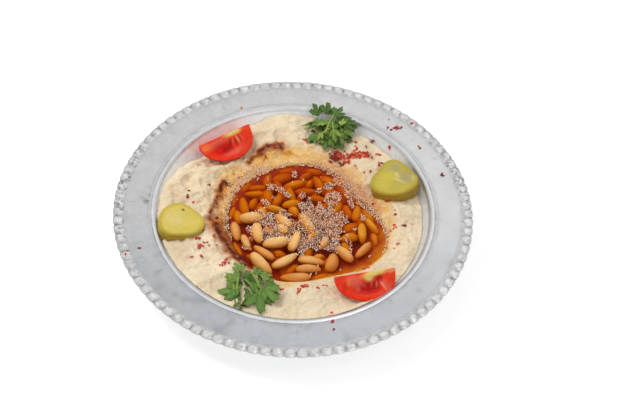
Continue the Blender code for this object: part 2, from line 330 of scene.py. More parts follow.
def raise_bumps(tree, shader, heights):
    """Bump from (height, distance in millimetres) pairs, coarse first."""
    normal = None
    for height, distance in heights:
        bump = tree.nodes.new("ShaderNodeBump")
        bump.inputs["Strength"].default_value = 1.0
        bump.inputs["Distance"].default_value = distance * MM
        tree.links.new(height, bump.inputs["Height"])
        if normal:
            tree.links.new(normal, bump.inputs["Normal"])
        normal = bump.outputs["Normal"]
    tree.links.new(normal, shader.inputs["Normal"])


def metal_finish():
    """Worn satin metal, rougher on the wall than on the rim."""
    material, tree, shader = principled("plate", Metallic=1.0, Roughness=0.42)
    worn = pattern(tree, 260, 5)
    fine = pattern(tree, 1500, 3)
    paint(tree, shader, [ranged(tree, worn, 0.93, 1.06), ranged(tree, fine, 0.97, 1.03)])
    coordinates = tree.nodes.new("ShaderNodeTexCoord")
    split = tree.nodes.new("ShaderNodeSeparateXYZ")
    tree.links.new(coordinates.outputs["Object"], split.inputs["Vector"])
    rougher = tree.nodes.new("ShaderNodeMath")
    tree.links.new(ranged(tree, worn, 0.36, 0.48), rougher.inputs[0])
    tree.links.new(ranged(tree, split.outputs["Z"], 0.3, 0.0, 0.0195, 0.0218), rougher.inputs[1])
    tree.links.new(rougher.outputs["Value"], shader.inputs["Roughness"])
    raise_bumps(tree, shader, [(worn, 0.12), (fine, 0.03)])
    return material


def hummus_finish():
    """Moist paste with soft lumps and fine grain."""
    material, tree, shader = principled("hummus", Roughness=0.5, Specular_IOR_Level=0.15)
    lumps = pattern(tree, 420, 4, 0.6)
    grain = pattern(tree, 1700, 3)
    paint(tree, shader, [ranged(tree, lumps, 0.95, 1.04), ranged(tree, grain, 0.93, 1.06)])
    tree.links.new(ranged(tree, lumps, 0.4, 0.6), shader.inputs["Roughness"])
    raise_bumps(tree, shader, [(lumps, 1.0), (grain, 0.3)])
    return material


def butter_finish():
    """Clear film; its colour is painted on what lies under it."""
    material, tree, shader = principled("butter", Roughness=0.06, Alpha=0.08, IOR=1.46,
                                        Specular_IOR_Level=0.14)
    ripples = pattern(tree, 130, 2)
    paint(tree, shader, [ranged(tree, ripples, 0.85, 1.1)])
    raise_bumps(tree, shader, [(ripples, 0.25)])
    return material


def food_finish(name, scale, spread, bump, **values):
    """Finish of one kind of food: fine shading at that scale, with the same pattern as bump."""
    material, tree, shader = principled(name, **values)
    grain = pattern(tree, scale, 3, 0.3)
    patches = pattern(tree, scale / 5, 2)
    paint(tree, shader, [ranged(tree, grain, 1 - spread, 1 + spread), ranged(tree, patches, 0.96, 1.04)])
    raise_bumps(tree, shader, [(patches, bump * 2), (grain, bump)])
    return material


# Plate

# Colours of the metal, and spots on it: x, y, half sizes along and across, heading. Of the colours, wall is a
# painted reflection that lightens the wall, lip a painted highlight, bead a painted highlight on the bead
# tops, and dark is tarnish together with painted shade.
METAL = {"wall": (0.84, 0.86, 0.87), "lip": (0.93, 0.94, 0.95), "dark": (0.20, 0.20, 0.195),
         "bead": (0.84, 0.84, 0.83)}
METAL_GREY = 0.545
# What the painted shade takes from the rim's colour at the front
FRONT_LOSS = (0.20, 0.18, 0.14)
CARVED_SPOTS = [(-108, 8, 50, 14, 90), (104, 40, 56, 12, 110)]
PITTED_SPOT = (-90.5, 2, 9, 2.6, 95)
RIM_TOP = 20                  # height over which a point belongs to the rim
SMOOTH_ANGLE = 50
BEAD_RING = 106.8
BEAD_HALF_LENGTH = 3.2
# Radii of the two creases, along which shade is painted
CREASES = (86.9, 88.9)
LIP = 86.1


def bead_shape(radius, angle, count):
    """Height over the rim, from 0 to 1, and place across a bead, from -1 to 1."""
    number = angle * count / FULL_TURN
    across = 2 * (number - np.floor(number)) - 1
    which = np.floor(number).astype(int) % count
    size = 1 - 0.22 * np.random.default_rng(SEEDS["beads"]).uniform(0, 1, count)[which]
    away = (radius - BEAD_RING) / BEAD_HALF_LENGTH
    dome = np.sqrt(unit(1 - np.abs(across) ** 2.2 - away ** 2))
    return dome * size, across


def metal_colours(points, radius, upper, dome, across):
    """Mottled metal with painted light: tarnish and painted shade between beads, painted shade in the creases
    and towards the front, a painted reflection lightening the wall, and painted highlights on its lip and the
    beads.
    """
    x, y, z = points.T
    on_top = z > RIM_TOP
    colours = np.full((len(points), 3), METAL_GREY) * (1 + 0.04 * noise(x, y, 9, 3))[:, None]
    # Tarnish with painted shade: dark between the beads, most towards the outer edge, with dark specks that
    # are thickest on the carved parts.
    outer = unit((radius - 105.2) / 2.6)
    tarnish = unit(np.abs(across) * 2.2 - 1.35) * upper * (0.25 + 0.75 * outer)
    tarnish *= unit(0.6 + 0.8 * noise(x, y, 2.6, 8))
    speckle = unit(noise(x, y, 1.0, 22) * 1.9 - 0.3)
    carved = sum(brush(x, y, spot) for spot in CARVED_SPOTS)
    tarnish = np.maximum(tarnish, speckle * upper * (0.25 + 0.75 * unit(carved)))
    # Painted shade: dark lines along the two creases inside the rim.
    crease = band(radius, CREASES[0], 0.5) * (0.22 + 0.25 * noise(x, y, 4, 9))
    crease = crease + 0.28 * band(radius, CREASES[1], 0.45) * (y > -20)
    pits = unit(noise(x, y, 1.6, 21) * 2.2 - 0.9) * brush(x, y, PITTED_SPOT)
    # Tarnish, pits and painted shade, all drawn with the dark colour.
    dark = unit(tarnish + crease * on_top + pits) * on_top
    # Painted shade: the rim darkens and turns bluer towards the front, and its mottled patches deepen there.
    front = (unit(-y / 70) * (radius < RIM_OUTER_RADIUS))[:, None]
    colours *= 1 - front * FRONT_LOSS
    patches = unit(noise(x, y, 5, 24) * 1.5 - 0.5)[:, None]
    colours *= 1 - patches * (0.04 + 0.14 * front)
    colours *= 1 - 0.35 * unit(noise(x, y, 1.2, 25) * 3 - 2.9)[:, None]
    # Painted reflection: the wall is painted lighter than the rim so that it looks brighter.
    wall = unit((21.4 - z) / 0.6) * (z > 6) * (radius < 87.5)
    colours = blend(colours, METAL["wall"], wall * 0.9)
    # Painted highlight: a light band along the inside of the lip.
    colours = blend(colours, METAL["lip"], band(radius, LIP, 0.5) * on_top * 0.8)
    colours = blend(colours, METAL["dark"], dark)
    # Painted highlight: the tops of the beads are blended towards the light bead colour.
    bright = unit(dome * 2.0 - 1.1 + 0.9 * noise(x, y, 1.5, 26))
    return blend(colours, METAL["bead"], bright * upper * unit(1.2 - tarnish * 2) * 0.5)


class PlateSettings(bpy.types.PropertyGroup):
    beads: IntProperty(name="Beads", description="Beads round the edge", default=96)
    steps: IntProperty(name="Steps for a bead", description="Faces along one bead", default=10)
    bead_rise: length("Bead rise", "Height of a bead over the rim", 1.15)
    notch: length("Notch", "How far the edge is drawn in between beads", 0.8)


class HUMMUS_OT_plate(bpy.types.Operator):
    """Turn the plate's section and press its edge into beads"""
    bl_idname = "hummus.plate"
    bl_label = "Plate"

    def execute(self, context):
        settings = context.scene.hummus_plate
        edge = [(radius, RIM_HEIGHT) for radius in np.linspace(RIM_OUTER_RADIUS, PLATE_RADIUS, 12)]
        section = UPPER_SECTION + edge + EDGE_SECTION + UNDER_SECTION
        mesh = bpy.data.meshes.new("plate")
        mesh.from_pydata([(radius * MM, 0, height * MM) for radius, height in section],
                         [(i, i + 1) for i in range(len(section) - 1)], [])
        piece = bpy.data.objects.new("plate_dish", mesh)
        context.collection.objects.link(piece)
        select_only(piece)
        bpy.ops.object.mode_set(mode="EDIT")
        bpy.ops.mesh.select_all(action="SELECT")
        bpy.ops.mesh.spin(steps=settings.beads * settings.steps, angle=FULL_TURN, center=(0, 0, 0),
                          axis=(0, 0, 1), use_auto_merge=True)
        bpy.ops.mesh.select_all(action="SELECT")
        bpy.ops.mesh.remove_doubles(threshold=MM / 1000)
        bpy.ops.mesh.normals_make_consistent(inside=False)
        bpy.ops.object.mode_set(mode="OBJECT")

        points = np.empty(len(mesh.vertices) * 3)
        mesh.vertices.foreach_get("co", points)
        points = points.reshape(-1, 3) / MM
        x, y = points[:, 0].copy(), points[:, 1].copy()
        radius, angle = np.hypot(x, y), np.arctan2(y, x) % FULL_TURN
        upper = (radius > RIM_OUTER_RADIUS - 0.01) & (points[:, 2] > RIM_HEIGHT - 0.1)
        dome, across = bead_shape(radius, angle, settings.beads)
        pressed = dome * (0.85 + 0.22 * noise(x, y, 1.7, 23))
        points[upper, 2] += pressed[upper] * settings.bead_rise / MM - 0.35
        drawn = unit((radius - 105) / 5) * (1 - np.sqrt(unit(1 - across ** 2)))
        points[:, :2] *= (1 - drawn * settings.notch / MM / np.maximum(radius, 1))[:, None]
        points[:, 2] += noise(x, y, 24, 11) * 0.18 * (radius > 86)
        mesh.vertices.foreach_set("co", (points * MM).ravel())
        tint_mesh(mesh, metal_colours(points, radius, upper, dome, across))
        mesh.update()
        mesh.materials.append(metal_finish())
        select_only(piece)
        bpy.ops.object.shade_smooth_by_angle(angle=math.radians(SMOOTH_ANGLE))
        settle(piece, "plate", "plate")
        return {"FINISHED"}


# Hummus

def edge_height(angle):
    """Height of the hummus against the plate's wall, at an angle."""
    away_from_bare = (angle - math.radians(BARE_HEADING) + math.pi) % FULL_TURN - math.pi
    bare = BARE_WALL_DEPTH * band(away_from_bare, 0, math.radians(21))
    away_from_far = (angle - math.radians(FAR_EDGE_HEADING) + math.pi) % FULL_TURN - math.pi
    lifted = FAR_EDGE_LIFT * band(away_from_far, 0, math.radians(17))
    return EDGE_HEIGHT + EDGE_TILT * np.cos(angle - math.radians(TILT_HEADING)) - bare + lifted


def wall_radius(height):
    """Radius of the inside of the plate's wall."""
    return np.interp(height, WALL_HEIGHTS, WALL_RADII)


def lumps(x, y):
    """Broad swells of the mound."""
    return LUMP * (np.sin(x / 5.2 + 1.7 * np.sin(y / 9)) + np.sin(y / 4.6 + 1.3 * np.sin(x / 11)))


def shore_radius(angle):
    """Distance from the pool's middle to its shore, at an angle."""
    return POOL_RADIUS + sum(size * np.cos(count * angle - math.radians(phase))
                             for count, size, phase in POOL_WAVES)


def from_shore(places):
    """Heading of each place from the pool's middle, and how far it is beyond the shore."""
    away = places - POOL_CENTRE
    bearing = np.arctan2(away[:, 1], away[:, 0])
    return bearing, np.hypot(away[:, 0], away[:, 1]) - shore_radius(bearing)


def hollow_height(share):
    """Height of the hollow's floor at a share of the way from its middle to the shore."""
    return POOL_LEVEL - SHORE_DROP - HOLLOW_DEPTH * (1 - share ** 2.4)


# Strokes of the spoon: middle of an arc, its radius, first and last heading, half width, depth
STROKES = [
    ((-40, 24), 25, 120, 215, 3.0, -1.5), ((-40, 24), 20.5, 115, 225, 1.8, 1.0),
    ((-42, 26), 30, 130, 200, 1.8, 0.9), ((-50, 27), 11, 60, 230, 2.2, -1.3),
    ((-50, 27), 7.5, 60, 240, 1.4, 0.8), ((-50, 25), 15, 150, 250, 1.3, 0.8),
    ((8, -5), 66, 178, 236, 3.6, -1.0), ((8, -5), 60, 195, 245, 2.0, 0.8),
    ((8, -5), 56, 160, 200, 1.8, 0.7), ((8, -5), 68, 250, 300, 4.2, -0.6),
    ((8, -5), 62, 262, 292, 2.0, 0.5), ((-10, 40), 34, 55, 125, 3.0, -0.8),
    ((-12, 38), 30, 60, 150, 1.8, 0.8), ((10, 0), 60, -38, 30, 3.0, -0.6),
    ((-20, 52), 15, 10, 170, 2.0, 0.8), ((-45, -30), 10, 0, 120, 2.6, -1.0),
    ((-40, -44), 14, 60, 170, 1.8, 0.7)]
# Where butter has soaked in or pooled on the hummus: x, y, half sizes, heading, strength
YELLOW_SPOTS = [
    (-38, 32, 10, 7, 50, 0.55), (-36, 6, 8, 16, 10, 0.6), (-22, 44, 12, 6, 35, 0.75),
    (0, 50, 16, 5, 0, 0.7), (20, 46, 12, 5, -25, 0.6), (36, 36, 10, 5, -45, 0.5),
    (55, 12, 4.5, 9, 20, 0.75), (-3, -55, 8, 2.5, 0, 0.5), (38, -40, 10, 2, 22, 0.4),
    (-42, -14, 4, 11, 10, 0.45), (59, 0, 3, 8, 0, 0.45)]
ORANGE_SPOTS = [
    (-6, 50.5, 5.5, 1.8, -6, 0.75), (1, 48.2, 2.6, 1.4, -20, 0.7), (-29.5, 46, 1.4, 3, -20, 0.7),
    (-20, 45, 1.2, 2.6, 0, 0.8), (-10.5, 58.5, 1.6, 1.8, 0, 0.5), (-43.5, 20, 3.5, 7, 10, 0.6),
    (-46, 9, 3.2, 9, 8, 0.7), (-47, -12, 3, 9, -25, 0.6), (-42.5, -11, 3.6, 9, 6, 0.75),
    (-38.5, -26, 3.4, 9, 38, 0.9), (49.5, 13.5, 2.6, 4, 30, 0.8), (52.5, 9, 2, 4, 20, 0.7),
    (-8, -56.5, 2.5, 1.5, -20, 0.5), (44, -38.5, 6, 1.1, 28, 0.5)]
BROWN_SPOTS = [
    (-15.5, 54.6, 4.4, 2.2, 12, 1.0), (-23, 51, 3.6, 1.4, 38, 0.8), (-43.6, 22.4, 2.6, 2.0, 30, 0.9),
    (-45.4, 10.5, 1.6, 3.0, 0, 0.8), (-47, 1, 1.4, 3.4, 0, 0.5)]
# Dark lines where the butter has run: places along each, half width, strength
DARK_TRAILS = [([(-31.5, 43.5), (-27.5, 48.6), (-23, 51)], 1.3, 0.7),
               ([(-24, 51), (-18, 54.4), (-11.5, 55.6)], 2.3, 1.0),
               ([(-41.8, 22.3), (-44.4, 23.4), (-46.8, 20.5), (-47.2, 15)], 1.3, 0.9),
               ([(-46.4, 14), (-48.6, 7), (-49.4, 0)], 1.0, 0.6),
               ([(-49.8, -3), (-49.4, -10), (-47.6, -15)], 1.5, 0.85),
               ([(-40.5, -8), (-40.6, -15), (-38.0, -23), (-33, -31), (-26, -38)], 2.6, 1.0),
               ([(-39.5, 10), (-41.5, 3), (-41, -5)], 1.0, 0.5),
               ([(-46.6, -14), (-42.8, -23), (-37.4, -30.5), (-30.5, -37), (-25, -42)], 2.3, 1.0)]
# The red line that runs along the far shore
RED_SHORE = [(12, 43), (24.5, 40.5), (32, 33), (38.5, 26), (44, 18), (49, 10.5)]
COARSE_RIDGE, PRESS_DEPTH = 0.7, 2.2          # millimetres
# Millimetres of butter that the tint adds everywhere, takes away in thin spots and adds in deep ones
MURK, THIN_MURK, DEEP_MURK = 6.3, 4.1, 5
# Single spots: x, y, half sizes, heading
# Patch of painted light on the hummus
BRIGHT_SPOT = (-56, -34, 26, 22, -40)
COARSE_SPOT = (-58, 14, 36, 48, -25)
PRESSED_SPOT = (49, -59, 19, 9, 20)
THIN_SPOTS = [(54, -17, 9, 18, -12), (34, -41, 26, 7, 22)]
DEEP_SPOTS = [(-36, -30, 12, 4, -50), (-36, -17, 3, 7, 0)]
# Of these colours, bright is painted light.
HUMMUS_COLOURS = {
    "plain": (0.855, 0.705, 0.487), "bright": (0.97, 0.82, 0.60), "shaded": (0.76, 0.60, 0.40),
    "creamy": (0.86, 0.72, 0.52), "soaked": (0.81, 0.44, 0.075), "red": (0.46, 0.16, 0.05),
    "yellow": (0.80, 0.47, 0.11), "orange": (0.62, 0.22, 0.025), "brown": (0.30, 0.07, 0.010),
    "run": (0.52, 0.15, 0.02), "run middle": (0.115, 0.014, 0.008)}
STAINS = (("yellow", YELLOW_SPOTS), ("orange", ORANGE_SPOTS), ("brown", BROWN_SPOTS))
# Width of the yellow ring that butter has soaked: heading from the pool's middle, millimetres
SOAKED_WIDTH = [
    (-60, 1.2), (-28, 1.5), (-5, 4.5), (15, 7.5), (45, 7), (70, 6), (90, 8), (110, 11), (130, 13),
    (150, 12), (170, 8), (190, 7), (205, 5), (220, 1.5), (260, 1.2)]


def around(table, bearing):
    """A width that changes with the heading, from (degrees, value) pairs."""
    headings, values = zip(*sorted((heading % 360, value) for heading, value in table))
    return np.interp(np.degrees(bearing) % 360, headings, values, period=360)


def stroke_height(x, y):
    """Height that the spoon's strokes add, or take away."""
    total = np.zeros_like(x)
    for middle, radius, first, last, half_width, depth in STROKES:
        away = np.hypot(x - middle[0], y - middle[1]) - radius
        heading = np.degrees(np.arctan2(y - middle[1], x - middle[0]))
        halfway, half_span = (first + last) / 2, (last - first) / 2
        along = np.abs((heading - halfway + 180) % 360 - 180) / half_span
        ends = unit((1.15 - along) / 0.35)
        total += depth * band(away, 0, half_width) * ends * ends * (3 - 2 * ends)
    return total


def butter_tint(colours, depth):
    """Colours as they show through that depth of butter."""
    return colours * np.exp(-np.maximum(depth, 0)[..., None] * BUTTER_ABSORPTION)


class HummusSettings(bpy.types.PropertyGroup):
    sectors: IntProperty(name="Sectors", description="Points round each ring", default=560)
    hollow_rings: IntProperty(name="Hollow rings", description="Rings under the butter", default=22)
    mound_rings: IntProperty(name="Mound rings", description="Rings from the shore to the wall", default=74)
    roughness: length("Lumpiness", "Height of the fine lumps", 0.6)


def mound_height(share, x, y, top, roughness):
    """Height of the mound at a share of the way from the shore to its top edge at the wall."""
    rise = share ** 0.6
    height = (POOL_LEVEL - SHORE_DROP) * (1 - rise) + top * rise
    height = height + (MOUND + lumps(x, y)) * 4 * share * (1 - share)
    fine = noise(x, y, 3.1, 2) + 0.6 * noise(x, y, 1.5, 4)
    fine += 1.1 * noise(x, y, 6.5, 5)
    warped_x, warped_y = x + 4 * noise(x, y, 9, 6), y + 4 * noise(x, y, 9, 7)
    ridge = 1 - np.abs(noise(warped_x, warped_y, 7, 12)) * 2
    coarse = 1 + 0.9 * brush(x, y, COARSE_SPOT) - 0.3 * (y < -45)
    soft = unit(4 * share) * unit(6 * (1 - share))
    height = height + (fine * roughness / MM + ridge * COARSE_RIDGE) * soft * coarse
    height = height + stroke_height(x, y) * soft
    return height - PRESS_DEPTH * brush(x, y, PRESSED_SPOT) * soft


def hummus_paint(points):
    """Colours of the hummus: uneven, with a painted patch of light at the lower left, stained by butter that
    ran or soaked in, tinted under the pool.
    """
    x, y, z = points.T
    bearing, beyond = from_shore(points[:, :2])
    colours = np.tile(HUMMUS_COLOURS["plain"], (len(points), 1))
    # Painted light: the hummus is painted lighter in a broad patch at the lower left.
    colours = blend(colours, HUMMUS_COLOURS["bright"], brush(x, y, BRIGHT_SPOT) * 0.9)
    colours = blend(colours, HUMMUS_COLOURS["shaded"], 0.3 + 0.6 * noise(x, y, 11, 40))
    colours = blend(colours, HUMMUS_COLOURS["creamy"], 0.6 * noise(x, y, 4.5, 41))
    soaked = band(np.maximum(beyond, 0), 0, around(SOAKED_WIDTH, bearing))
    soaked = soaked * unit(0.85 + 0.4 * noise(x, y, 4, 45))
    colours = blend(colours, HUMMUS_COLOURS["soaked"], soaked * 0.9)
    colours = blend(colours, HUMMUS_COLOURS["red"], 0.9 * trail(x, y, RED_SHORE, 4.2))
    speck = noise(x, y, 1.3, 42)
    stained = 0.95 + 0.4 * noise(x, y, 2.4, 43) + 0.3 * speck
    strayed_x, strayed_y = x + 1.1 * noise(x, y, 4, 46), y + 1.1 * noise(x, y, 4, 47)
    for name, spots in STAINS:
        strength = np.zeros(len(points))
        for *spot, amount in spots:
            strength = np.maximum(strength, amount * brush(strayed_x, strayed_y, spot))
        colours = blend(colours, HUMMUS_COLOURS[name], unit(strength * stained * 1.3))
    for places, half_width, amount in DARK_TRAILS:
        edge = amount * stained * trail(strayed_x, strayed_y, places, half_width * 1.9)
        colours = blend(colours, HUMMUS_COLOURS["run"], edge)
        middle = amount * trail(strayed_x, strayed_y, places, half_width) * stained * 1.1
        colours = blend(colours, HUMMUS_COLOURS["run middle"], middle)
    wet = unit((1.2 - beyond + 0.8 * speck) / 2.0) * (z > 2)
    thin = sum(brush(x, y, spot) for spot in THIN_SPOTS)
    murk = MURK - THIN_MURK * unit(thin) + 1.6 * noise(x, y, 5, 44)
    depth = (np.maximum(POOL_LEVEL - z, 0) + murk) * wet * (z < POOL_LEVEL + 1)
    depth += DEEP_MURK * sum(brush(x, y, spot) for spot in DEEP_SPOTS) * wet
    return butter_tint(colours, depth)


class HUMMUS_OT_hummus(bpy.types.Operator):
    """Spread the hummus in the plate's well, with a hollow for the butter"""
    bl_idname = "hummus.hummus"
    bl_label = "Hummus"

    def execute(self, context):
        settings = context.scene.hummus_spread
        angle, outward = around_circle(settings.sectors)
        shore = POOL_CENTRE + outward * shore_radius(angle)[:, None]
        ragged = np.clip(noise(outward[:, 0] * 78, outward[:, 1] * 78, 5, 31), -1, 1)
        top = edge_height(angle) + ragged * 0.7
        edge = outward * (wall_radius(top) - WALL_GAP)[:, None]
        rings = []
        for share in np.linspace(0.05, 0.985, settings.hollow_rings):
            flat = POOL_CENTRE + (shore - POOL_CENTRE) * share
            height = hollow_height(share) + 0.4 * noise(flat[:, 0], flat[:, 1], 5, 17)
            rings.append(np.column_stack([flat, height]))
        for share in np.linspace(0, 1, settings.mound_rings) ** 0.92:
            x, y = (shore * (1 - share) + edge * share).T
            rings.append(np.column_stack([x, y, mound_height(share, x, y, top, settings.roughness)]))
        for share in (0.15, 0.5, 1.0):
            height = top * (1 - share) + WELL_FLOOR * share
            rings.append(np.column_stack([outward * (wall_radius(height) - WALL_GAP)[:, None], height]))
        points, faces = skin(rings, (*POOL_CENTRE, hollow_height(0)), (0, 0, WELL_FLOOR))
        piece = add_piece("hummus_spread", points, faces, hummus_paint(points), hummus_finish())
        settle(piece, "hummus", "hummus")
        return {"FINISHED"}


# Butter

class ButterSettings(bpy.types.PropertyGroup):
    sectors: IntProperty(name="Sectors", description="Points round the pool", default=160)
    bubbles: IntProperty(name="Bubbles", description="Places tried for froth bubbles", default=140000)
    bubble_radius: length("Bubble radius", "Mean radius of a bubble", 0.47)


BUTTER_COLOUR = (0.36, 0.055, 0.006)
BUTTER_UNDER_HUMMUS = 0.8


class HUMMUS_OT_butter(bpy.types.Operator):
    """Fill the hollow with clear melted butter"""
    bl_idname = "hummus.butter"
    bl_label = "Butter"

    def execute(self, context):
        angle, outward = around_circle(context.scene.hummus_butter.sectors)
        shore = outward * (shore_radius(angle) + 0.4)[:, None]
        levels = [(share, POOL_LEVEL - 0.25 * share ** 8) for share in np.linspace(0.1, 1, 14)]
        levels += [(share, hollow_height(share) - BUTTER_UNDER_HUMMUS) for share in (0.97, 0.8, 0.5, 0.2)]
        rings = [np.column_stack([POOL_CENTRE + shore * share, np.full(len(shore), level)])
                 for share, level in levels]
        bottom = (*POOL_CENTRE, hollow_height(0) - BUTTER_UNDER_HUMMUS)
        points, faces = skin(rings, (*POOL_CENTRE, POOL_LEVEL), bottom)
        colours = np.tile(BUTTER_COLOUR, (len(points), 1))
        piece = add_piece("melted_butter", points, faces, colours, butter_finish())
        settle(piece, "butter", "butter_pool")
        return {"FINISHED"}


# Froth on the butter: x, y, half sizes, heading, strength of each patch
FROTH_SPOTS = [
    (17, -8, 14, 15, 0, 1.0), (12, 2, 8, 6, 0, 0.9), (-8, -13, 12, 9, 0, 0.85), (0, -10, 7, 8, 0, 0.9),
    (-20, -6, 8, 3, -30, 0.8), (-24, -12, 3, 9, -10, 0.6), (27, -2, 6, 6, 0, 0.8), (24, -20, 5, 6, 0, 0.95),
    (10, -18, 6, 8, 0, 0.9), (-10, -20, 8, 4, 10, 0.5), (8, 8, 5, 4, 0, 0.85), (25, 17, 4.5, 6.5, -30, 0.9),
    (21, 26, 2.5, 3, 0, 0.7), (15, 21, 2.4, 2.4, 0, 0.8), (5, 17, 2.6, 3, 0, 0.85), (9, 14, 2, 2, 0, 0.8),
    (-12, 22, 5, 2.2, -25, 0.95), (-6, 18, 4, 2, -45, 0.9), (-18, 9.5, 3.4, 2, -10, 0.95),
    (-1, 33, 1.8, 2.8, 20, 0.9), (-14, -2, 4, 3.5, 0, 0.8), (-6, 1.5, 4, 2, -30, 0.8),
    (35, 12, 2, 4, 20, 0.6), (43, 1, 2, 2.5, 0, 0.7), (36, -22, 1.2, 4, 0, 0.5),
    (-27, -27, 3.4, 2, -30, 0.9), (-22, 0, 5, 2, 0, 0.7), (6, -27, 2.2, 4.5, 10, 0.8),
    (2, -32, 3.5, 1.3, 50, 0.8), (28, -25, 2, 3, 0, 0.7), (38, -8, 1.6, 2.4, 0, 0.5),
    (32, 20, 2, 5, 20, 0.5)]
# The froth's band along the shore: heading from the pool's middle, width outwards and inwards
SHORE_FROTH = [
    (-28, 0, 0), (-12, 2.0, 0.5), (0, 3.6, 1.2), (12, 5.8, 2.4), (40, 10.0, 4.4), (62, 9.0, 4.5),
    (80, 6.5, 2.0), (100, 6.0, 1.0), (118, 8.0, 0.9), (135, 9.0, 0.9), (150, 7.0, 0.9), (165, 4.6, 1.0),
    (185, 3.4, 0.8), (196, 2.0, 0.5), (203, 0, 0), (332, 0, 0)]


FROTH_REACH = 58.0
BUBBLE_SIDES = 8
BUBBLE_SPACING = 0.89         # share of two bubbles' radii that their middles keep apart
CELL = 1.5                    # millimetres, for finding the bubbles nearby
# Colours of a bubble's crown, with a near-white one that is a painted glint, and what they are multiplied by
# on the right shore, the left, and at the foot, where the darkening is painted shade
CROWN_DARK, CROWN_LIGHT = np.array((1.0, 0.62, 0.37)), np.array((1.0, 0.94, 0.75))
CROWN_WHITE, CROWN_BROWN = np.array((1.0, 0.94, 0.86)), np.array((0.42, 0.16, 0.06))
RIGHT_SHORE_TINT, LEFT_SHORE_TINT, FOOT_TINT = (0.92, 0.86, 0.86), (1.0, 1.0, 0.72), (0.78, 0.50, 0.36)


def froth_density(x, y, beyond, outer, inner):
    """How much froth there is at each place: a band along the shore, patches on the butter."""
    ragged = noise(x, y, 3.0, 50)
    outside = 1.15 - beyond / np.maximum(outer, 0.1)
    density = np.where(beyond > 0, outside, 1.15 + beyond / np.maximum(inner, 0.1))
    density = unit(density + 0.45 * ragged)
    for *spot, amount in FROTH_SPOTS:
        patch = amount * brush(x, y, spot) * 1.6 + 0.5 * ragged - 0.3
        density = np.maximum(density, np.where(beyond < 0, patch, 0))
    density[(beyond > outer * 1.4) | ((outer < 0.45) & (beyond > -1.5))] = 0
    density[nut_above(x, y)] *= 0.34
    return density


def crown_colour(random, x, ground):
    """Colour of the top of one bubble."""
    crown = blend(CROWN_DARK, CROWN_LIGHT, random.uniform(0, 1))
    if ground > POOL_LEVEL - 0.3:
        crown = crown * (RIGHT_SHORE_TINT if x > 12 else LEFT_SHORE_TINT)
    # Painted highlight: one bubble in ten is painted nearly white as a glint.
    if random.uniform() < 0.1:
        return CROWN_WHITE
    if random.uniform() < 0.14 and ground < POOL_LEVEL:
        return CROWN_BROWN
    return crown


class HUMMUS_OT_froth(bpy.types.Operator):
    """Lay fine bubbles on the butter, on the edges of the nuts and along the far shore"""
    bl_idname = "hummus.froth"
    bl_label = "Froth"

    def execute(self, context):
        settings = context.scene.hummus_butter
        random = np.random.default_rng(SEEDS["froth"])
        trees = ground_trees(context, "hummus_spread", "pine_nuts_above")
        tried = POOL_CENTRE + random.uniform(-FROTH_REACH, FROTH_REACH, (settings.bubbles, 2))
        bearing, beyond = from_shore(tried)
        outer = around([(heading, outwards) for heading, outwards, _ in SHORE_FROTH], bearing)
        inner = around([(heading, inwards) for heading, _, inwards in SHORE_FROTH], bearing)
        density = froth_density(tried[:, 0], tried[:, 1], beyond, outer, inner)
        keep = random.uniform(0.1, 0.62, len(tried)) < density
        radii = settings.bubble_radius / MM * random.uniform(0.55, 1.35, len(tried))
        radii = radii * np.where(beyond > 1, 0.8, 1)

        circle = np.column_stack([around_circle(BUBBLE_SIDES)[1], np.zeros(BUBBLE_SIDES)])
        shapes, cells = [], {}
        for index in np.flatnonzero(keep):
            (x, y), radius = tried[index], radii[index]
            column, row = int(x // CELL), int(y // CELL)
            near = [other for i in (-1, 0, 1) for j in (-1, 0, 1)
                    for other in cells.get((column + i, row + j), ())]
            if any(math.hypot(x - a, y - b) < (radius + c) * BUBBLE_SPACING for a, b, c in near):
                continue
            cells.setdefault((column, row), []).append((x, y, radius))
            ground = ground_height(trees, x, y)
            base = max(POOL_LEVEL - 0.05, ground - 0.1)
            rings = [circle * radius * share + (x, y, base + radius * rise)
                     for share, rise in ((0.62, 0.72), (1.0, 0.0))]
            points, faces = skin(rings, (x, y, base + radius * 0.95), (x, y, base - 0.05))
            crown = crown_colour(random, x, ground)
            # Painted shade: the foot of each bubble is darker than its crown.
            colours = np.vstack([np.tile(crown, (BUBBLE_SIDES + 1, 1)),
                                 np.tile(crown * FOOT_TINT, (BUBBLE_SIDES + 1, 1))])
            shapes.append((points, faces, colours))
        finish = food_finish("froth", 2600, 0.15, 0.02, Roughness=0.45, Specular_IOR_Level=0.08)
        settle(add_piece("butter_froth", *join(shapes), finish), "butter")
        return {"FINISHED"}


# Pine nuts: middle x and y, heading of the long axis, length, width, and paleness from 0 to 1
NUTS_ABOVE = [
    (-25.5, -4.2, 8, 14.5, 6.4, 0.7), (-34.3, -15.3, -75, 14, 5.4, 0.35), (-27.3, -23.4, -65, 12, 5.0, 0.5),
    (-20.6, -16.2, -77, 14.5, 6.4, 0.9), (-6.0, -11.8, -50, 8, 5.6, 0.55), (-6.0, -5.0, -45, 13, 6.2, 0.6),
    (-9.5, -23.0, 15, 15.5, 6.4, 0.95), (2.0, -20.8, 76, 15, 6.2, 0.95), (8.4, -5.6, -55, 16.5, 6.6, 0.2),
    (-16.0, -30.6, -35, 15, 5.6, 0.35), (-3.4, -36.0, 36, 17, 6.0, 0.85), (-17.2, -39.6, -47, 18, 7.2, 0.9),
    (12.6, -35.0, -5, 15.5, 5.6, 0.55), (24.6, -34.8, 78, 13, 7.4, 0.0), (11.2, -41.3, 5, 14.5, 4.6, 0.25),
    (3.6, -47.3, 3, 17.5, 5.4, 0.15), (32.4, -28.2, -45, 13.5, 5.6, 0.4), (43.6, -24.0, 54, 14, 5.4, 0.25),
    (20.0, -20.6, 68, 8.5, 4.8, 0.5)]
